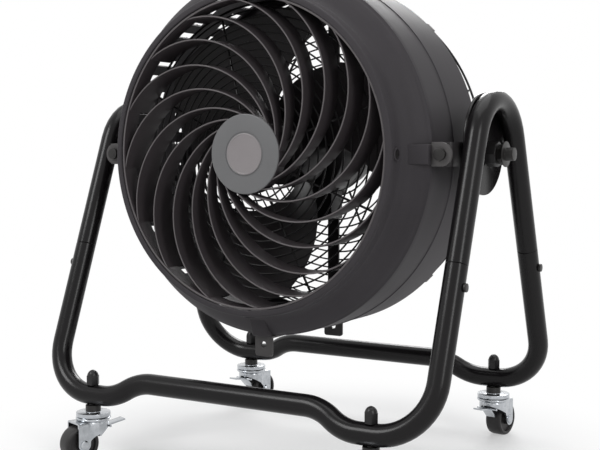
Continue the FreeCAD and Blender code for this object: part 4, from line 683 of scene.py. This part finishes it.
def satin_plastic(name, dark, light, roughness):
    """Painted plastic: an even satin film with fine dust and a few hair scratches."""
    def paint(place):
        clouds = noise(place, 22, 3.0)
        specks = noise(place, 2200, 1.0)
        grain = place.node("ShaderNodeMapping", {}, {"Vector": place, "Rotation": (0, 0.6, 0),
                                                     "Scale": (40, 1, 900)})
        scratches = noise(grain, 1, 1.0)
        return {
            "Base Color": blend_colour(clouds * 0.6 + specks * 0.25 + scratches * 0.15, dark, light),
            "Roughness": clouds * 0.1 + specks * 0.08 + scratches * 0.08 + (roughness - 0.13),
            "Normal": bump(specks + scratches * 0.5, 0.015 * mm, 0.5),
        }
    return surface(name, paint, {"Specular IOR Level": 0.5})


cap_paint = satin_plastic("cap_grey_paint", srgb(92, 92, 93), srgb(108, 108, 109), 0.42)
badge_paint = satin_plastic("badge_pale_paint", srgb(122, 117, 118), srgb(140, 135, 136), 0.34)
shape = bmesh.new()
lathe(shape, [(0, hub_front), (hub_radius, hub_front), (hub_radius, cap_front + 1.1 * mm),
              (hub_radius - 0.3 * mm, cap_front + 0.5 * mm), (hub_radius - 0.9 * mm, cap_front + 0.1 * mm),
              (hub_radius - 1.6 * mm, cap_front), (badge_radius + 2.2 * mm, cap_front),
              (badge_radius + 1.9 * mm, cap_front + 0.5 * mm), (badge_radius + 0.5 * mm, cap_front + 0.5 * mm),
              (badge_radius, cap_front), (0, cap_front)], axis_turn, 160, closed=False)
finish_mesh("hub_cap_disc", shape, cap_paint, "head", "hub_cap")
shape = bmesh.new()
lathe(shape, [(0, cap_front), (badge_radius - 0.1 * mm, cap_front), (badge_radius, badge_front + 0.8 * mm),
              (badge_radius - 0.3 * mm, badge_front + 0.25 * mm), (badge_radius - 0.9 * mm, badge_front),
              (badge_radius - 1.8 * mm, badge_front), (badge_radius - 2.4 * mm, badge_front + 0.35 * mm),
              (0, badge_front + 0.35 * mm)], axis_turn, 128, closed=False)
finish_mesh("hub_badge_plate", shape, badge_paint, "head", "hub_badge")

# Wire guards: rings of thin wire welded to stays of thicker wire and coated black. The front guard lies against
# the vanes' rear edges, and the rear one is a shallow basket held on the housing's rear rim by four clips.
ring_wire, stay_wire, weld_gap, guard_gap = 2.4 * mm, 3.2 * mm, 0.05 * mm, 0.6 * mm
stays, front_stay_bearing, wire_sides = 8, 21, 10
front_rings = [62 * mm + number * 11 * mm for number in range(13)]
rear_rings = [62 * mm + number * 12 * mm for number in range(14)]
rear_rim, rear_plane, guard_bend = 231.5 * mm, 98 * mm, 3 * mm
foot_ring, side_pitch = 57.6 * mm, 14 * mm
wire_coat = powder_coat("guard_black_coat", srgb(22, 21, 22), srgb(34, 32, 33), 0.3)


def wire_ring(shape, radius, y, wire):
    lathe(shape, [(radius + out, y + along) for out, along in circle(wire / 2, wire_sides)], axis_turn, 180)


def wire_stays(shape, path, wire, first):
    """Copies of a wire round the fan's axis, along points (radius, y)."""
    for number in range(stays):
        angle = first + number * 360 / stays
        points = [drum_point(radius, y, angle) for radius, y in path]
        sweep_rings(shape, points, lambda share: circle(wire / 2, wire_sides))


shape = bmesh.new()
cone = Vector((ring_bore - hub_radius, vane_tip_depth - vane_root_depth)).normalized()
cone_start, behind = Vector((hub_radius, vane_front + vane_root_depth)), Vector((-cone.y, cone.x))
for radius in front_rings:
    spot = cone_start + cone * ((radius - hub_radius) / cone.x) + behind * (ring_wire / 2 + guard_gap)
    wire_ring(shape, spot.x, spot.y, ring_wire)
level = cone_start + behind * (ring_wire + guard_gap + weld_gap + stay_wire / 2)
ends = [level + cone * ((radius - level.x) / cone.x)
        for radius in (front_rings[0] - ring_wire, ring_bore - stay_wire)]
wire_stays(shape, [tuple(end) for end in ends], stay_wire, front_stay_bearing)
edge = Vector((ring_bore, vane_front + vane_tip_depth)) + behind * (guard_gap + stay_wire / 2)
wire_ring(shape, edge.x, edge.y, stay_wire)
finish_mesh("front_wire_guard_wires", shape, wire_coat, "head", "front_wire_guard")
shape = bmesh.new()
flat = rear_plane + weld_gap + ring_wire / 2
for radius in rear_rings:
    wire_ring(shape, radius, flat, ring_wire)
wire_ring(shape, rear_rim, rear_plane + weld_gap + stay_wire / 2, stay_wire)
leg = rear_rim - stay_wire - weld_gap
for number in range(3):
    wire_ring(shape, leg + (stay_wire + ring_wire) / 2 + weld_gap, foot_ring + number * side_pitch, ring_wire)
stay_plane = flat + (ring_wire + stay_wire) / 2 + weld_gap
bend = [(leg - guard_bend * (1 - math.sin(turn)), stay_plane - guard_bend * (1 - math.cos(turn)))
        for turn in (math.radians(angle) for angle in range(0, 91, 15))]
stay_path = [(rear_rings[0] - ring_wire, stay_plane)] + bend + [(leg, drum_rear + drum_sheet + weld_gap)]
wire_stays(shape, stay_path, stay_wire, 180 / stays)
finish_mesh("rear_wire_guard_wires", shape, wire_coat, "head", "rear_wire_guard")
machined("rear_guard_clips", "head", lug_paint, 0.4 * mm)

# Motor frame and standoffs: a flat steel cross behind the housing that carries the motor. Its arms end in lugs,
# and a round post holds each arm off the housing's rear rim.
frame_paint = powder_coat("frame_black_paint", srgb(34, 32, 33), srgb(48, 46, 47), 0.36)
machined("motor_frame", "head", frame_paint, 0.7 * mm)
machined("rear_standoffs", "head", bright_zinc, 0.5 * mm)

# Motor: a drawn steel shell between two cast end caps, fixed to the frame by the rear one. Inside are the
# laminated core, its varnished windings and two ball bearings, and a box for the capacitor hangs below.
def laminated_steel(name):
    """A stack of thin stamped sheets: bright and dark lines across the fan's axis."""
    def paint(place):
        along = place.node("ShaderNodeSeparateXYZ", {}, {0: place}, 1)
        sheets = along.maths("FRACT", along * 2000, 0.0)
        rust = noise(place, 90, 3.0)
        return {
            "Base Color": blend_colour(sheets * 0.6 + rust * 0.4, srgb(74, 72, 70), srgb(134, 132, 130)),
            "Roughness": rust * 0.2 + 0.35,
            "Normal": bump(sheets, 0.05 * mm, 0.6),
        }
    return surface(name, paint, {"Metallic": 0.9})


def wound_copper(name):
    """Enamelled wire laid in bundles and dipped in brown varnish."""
    def paint(place):
        strands = place.node("ShaderNodeTexWave", {"bands_direction": "Y", "wave_profile": "SIN"},
                             {"Vector": place, "Scale": 260.0, "Distortion": 3.0, "Detail": 2.0}, 1)
        varnish = noise(place, 60, 3.0)
        return {
            "Base Color": blend_colour(strands * 0.6 + varnish * 0.4, srgb(92, 44, 22), srgb(176, 98, 52)),
            "Roughness": varnish * 0.2 + 0.22,
            "Normal": bump(strands, 0.3 * mm, 0.8),
        }
    return surface(name, paint, {"Metallic": 0.5})


motor_paint = powder_coat("motor_black_paint", srgb(40, 38, 39), srgb(54, 52, 53), 0.36)
for node in ("motor_shell", "motor_front_cap", "motor_rear_cap"):
    machined(node, "head", motor_paint, 0.9 * mm)
machined("capacitor_box", "head", nut_plastic, 2.0 * mm)
machined("motor_bearings", "head", bright_zinc, 0.5 * mm)
machined("stator_core", "head", laminated_steel("stator_sheets"), 0.3 * mm)
machined("stator_windings", "head", wound_copper("stator_wire"), 2.5 * mm)

# Controls: a round dark grey plastic housing screwed behind the frame, with the speed switch inside it, a gland
# below for the supply lead and a black knob in the middle of its back.
control_plastic = moulded("control_grey_plastic", srgb(52, 50, 51), srgb(70, 68, 69), 0.42)
machined("control_box", "head", control_plastic, 2.0 * mm)
machined("cable_gland", "head", control_plastic, 0.8 * mm)
machined("speed_switch", "head", control_plastic, 0.6 * mm)
knob_plastic = moulded("knob_black_plastic", srgb(22, 21, 22), srgb(38, 37, 37), 0.36, 900, 0.02, 0.2)
machined("speed_knob", "speed_knob", knob_plastic, 1.0 * mm)

# Fan wheel: a moulded hub with three broad twisted blades on the motor's shaft, held by a domed nut.
# The blades are thickest in the middle, with thin edges and rounded tips.
blade_root, blade_tip, blade_sheet = 39.5 * mm, 205 * mm, 2.6 * mm
blade_front, blade_rear, blade_camber = 70 * mm, 8 * mm, 7 * mm
blade_bearing, blade_half_angle, blade_sweep, blade_count = -11, 40, 68, 3
tip_round, corner_share = 0.16, 0.2
blade_rows, blade_columns = 26, 24
wheel_hub, wheel_front, wheel_rear, wheel_wall, wheel_core = 42 * mm, -62 * mm, 4 * mm, 5 * mm, 16 * mm
shaft_bore = 7.05 * mm


def blade_spot(out, across, turn):
    angle = turn + blade_bearing + blade_sweep * (1 - out) + blade_half_angle * (2 * across - 1)
    y = blade_rear * (1 - across) - blade_front * across + 4 * blade_camber * across * (1 - across)
    return drum_point(blade_root + (blade_tip - blade_root) * out, y, angle)


def blade_normal(out, across, turn):
    step = 0.002
    along = blade_spot(out + step, across, turn) - blade_spot(out - step, across, turn)
    return along.cross(blade_spot(out, across + step, turn) - blade_spot(out, across - step, turn)).normalized()


def blade_width(out):
    """Share of the blade's width that is left at a place along it: the corners of its tip are rounded."""
    past = max(0, (out - (1 - tip_round)) / tip_round)
    return 1 - corner_share * (1 - math.sqrt(max(0, 1 - past ** 2)))


blade_plastic = moulded("blade_black_plastic", srgb(34, 31, 32), srgb(50, 46, 48), 0.36, 700, 0.03)
shape = bmesh.new()
wheel_web = wheel_front + 2 * wheel_wall
lathe(shape, [(shaft_bore, wheel_front), (wheel_hub - wheel_wall, wheel_front),
              (wheel_hub - 2.6 * mm, wheel_front + 1.2 * mm), (wheel_hub - 1 * mm, wheel_front + 3 * mm),
              (wheel_hub, wheel_front + wheel_wall), (wheel_hub, wheel_rear),
              (wheel_hub - wheel_wall, wheel_rear), (wheel_hub - wheel_wall, wheel_web),
              (wheel_core, wheel_web), (wheel_core, wheel_rear), (shaft_bore, wheel_rear)], axis_turn, 96)
for number in range(blade_count):
    turn = number * 360 / blade_count
    faces = []
    for sign in (1, -1):
        rows = []
        for row in range(blade_rows + 1):
            out = 1 - (1 - row / blade_rows) ** 1.5
            line = []
            for column in range(blade_columns + 1):
                share = 0.5 - 0.5 * math.cos(math.pi * column / blade_columns)
                across = 0.5 + (share - 0.5) * blade_width(out)
                swell = 0.3 + 0.7 * math.sqrt(math.sin(math.pi * share))
                thin = swell * (1 - 0.4 * out) * (1 if row < blade_rows else 0.4)
                line.append(shape.verts.new(blade_spot(out, across, turn)
                                            + blade_normal(out, across, turn) * sign * thin * blade_sheet / 2))
            rows.append(line)
        faces.append(rows)
    for rows in faces:
        for first, second in zip(rows, rows[1:]):
            for column in range(blade_columns):
                shape.faces.new((first[column], first[column + 1], second[column + 1], second[column]))
    edge_loops = [[rows[0] for rows in faces], [rows[-1] for rows in faces]]
    edge_loops += [[[line[end] for line in rows] for rows in faces] for end in (0, -1)]
    for top, under in edge_loops:
        for spot in range(len(top) - 1):
            shape.faces.new((top[spot], top[spot + 1], under[spot + 1], under[spot]))
finish_mesh("fan_blades_moulding", shape, blade_plastic, "rotor", "fan_blades", sharp=40)
machined("hub_nut", "rotor", bright_zinc, 0.8 * mm)
machined("motor_shaft", "rotor", bright_zinc, 0.5 * mm)
machined("rotor_core", "rotor", laminated_steel("rotor_sheets"), 0.3 * mm)

# Pivots: a black steel bracket on either side is bolted between the lugs. Its pivot bolt goes through a
# friction washer and the stand's plate into an eight-sided clamp knob, with a lock nut and a cap outside it.
def friction_lining(name):
    """Pressed fibre: dull brown-grey with short pale fibres."""
    def paint(place):
        fibres = noise(place, 700, 3.0, 0.7)
        return {
            "Base Color": blend_colour(fibres, srgb(58, 50, 44), srgb(104, 94, 84)),
            "Roughness": fibres * 0.2 + 0.7,
            "Normal": bump(fibres, 0.1 * mm, 0.6),
        }
    return surface(name, paint, {})


lining = friction_lining("friction_fibre")
machined("friction_washers", "head", lining, 0.3 * mm)
for side in ("left", "right"):
    machined(f"{side}_pivot_bracket", "head", frame_paint, 0.8 * mm)
    machined(f"{side}_bracket_bolts", "head", black_screws, 0.7 * mm)
    machined(f"{side}_pivot_bolt", "head", black_screws, 0.6 * mm)
    machined(f"{side}_tilt_knob", f"{side}_tilt_knob", knob_plastic, 1.4 * mm)

# Studio: a pale floor that keeps the object's shadow and fades to white, broad soft lamps, and the camera where
# the photographer stood.
def seen_directly(tree):
    """1 for what the camera, a mirror or glass sees, and 0 for the light that the same surface gives."""
    rays = Feed(tree)
    seen = rays.node("ShaderNodeLightPath", output="Is Camera Ray")
    for kind in ("Is Glossy Ray", "Is Transmission Ray"):
        seen = seen.maths("MAXIMUM", seen, rays.node("ShaderNodeLightPath", output=kind))
    return seen


bpy.ops.mesh.primitive_grid_add(x_subdivisions=4, y_subdivisions=4, size=16)
floor = bpy.context.object
floor.name = "studio_floor"
floor_finish = bpy.data.materials.new("studio_floor_paper")
floor_finish.use_nodes = True
tree = floor_finish.node_tree
tree.nodes.clear()
place = Feed(tree).node("ShaderNodeTexCoord", output="Object")
distance = place.node("ShaderNodeVectorMath", {"operation": "LENGTH"}, {0: place}, "Value")
fade = distance.node("ShaderNodeMapRange", {"interpolation_type": "SMOOTHSTEP"},
                     {"Value": distance, "From Min": 0.24, "From Max": 0.54, "To Min": 0.35})
paper = place.node("ShaderNodeBsdfDiffuse", {}, {"Color": (0.88, 0.88, 0.88, 1)})
white = place.node("ShaderNodeEmission", {}, {"Color": (1, 1, 1, 1), "Strength": 1.0})
mixed = paper.node("ShaderNodeMixShader", {}, {0: fade * seen_directly(tree), 1: paper, 2: white})
tree.links.new(mixed.socket, tree.nodes.new("ShaderNodeOutputMaterial").inputs["Surface"])
floor.data.materials.append(floor_finish)

world = bpy.data.worlds.new("studio_light")
world.use_nodes = True
bpy.context.scene.world = world
tree = world.node_tree
tree.nodes.clear()
seen = seen_directly(tree)
backdrop = seen.node("ShaderNodeBackground", {}, {"Color": (1, 1, 1, 1), "Strength": 1.0})
ambience = seen.node("ShaderNodeBackground", {}, {"Color": (0.97, 0.985, 1, 1), "Strength": 0.34})
mixed = seen.node("ShaderNodeMixShader", {}, {0: seen, 1: ambience, 2: backdrop})
tree.links.new(mixed.socket, tree.nodes.new("ShaderNodeOutputWorld").inputs["Surface"])

fan_middle = Vector((0, 0, 0.36))
for name, spot, width, height, watts in (("key_softbox", (-1.3, -2.1, 2.3), 1.0, 1.2, 38),
                                         ("side_softbox", (2.2, -1.2, 1.5), 0.6, 1.5, 20),
                                         ("top_softbox", (0.2, 0.3, 2.6), 2.0, 2.0, 22),
                                         ("rear_softbox", (-0.8, 2.4, 1.8), 1.2, 1.2, 34)):
    lamp = bpy.data.lights.new(name, "AREA")
    lamp.shape = "RECTANGLE"
    lamp.size, lamp.size_y, lamp.energy = width, height, watts
    stand_in = bpy.data.objects.new(name, lamp)
    stand_in.location = spot
    stand_in.rotation_euler = (fan_middle - Vector(spot)).to_track_quat("-Z", "Y").to_euler()
    bpy.context.scene.collection.objects.link(stand_in)

view_turn, view_drop = math.radians(30.90), math.radians(3.78)
camera = bpy.data.cameras.new("photograph_camera")
camera.lens, camera.sensor_width = 67.6, 36
eye = bpy.data.objects.new("photograph_camera", camera)
eye.location = (0.81706, -1.36723, 0.4246)
ahead = Vector((-math.sin(view_turn) * math.cos(view_drop), math.cos(view_turn) * math.cos(view_drop),
                -math.sin(view_drop)))
eye.rotation_euler = ahead.to_track_quat("-Z", "Y").to_euler()
bpy.context.scene.collection.objects.link(eye)
bpy.context.scene.camera = eye
bpy.context.scene.view_settings.view_transform = "Standard"
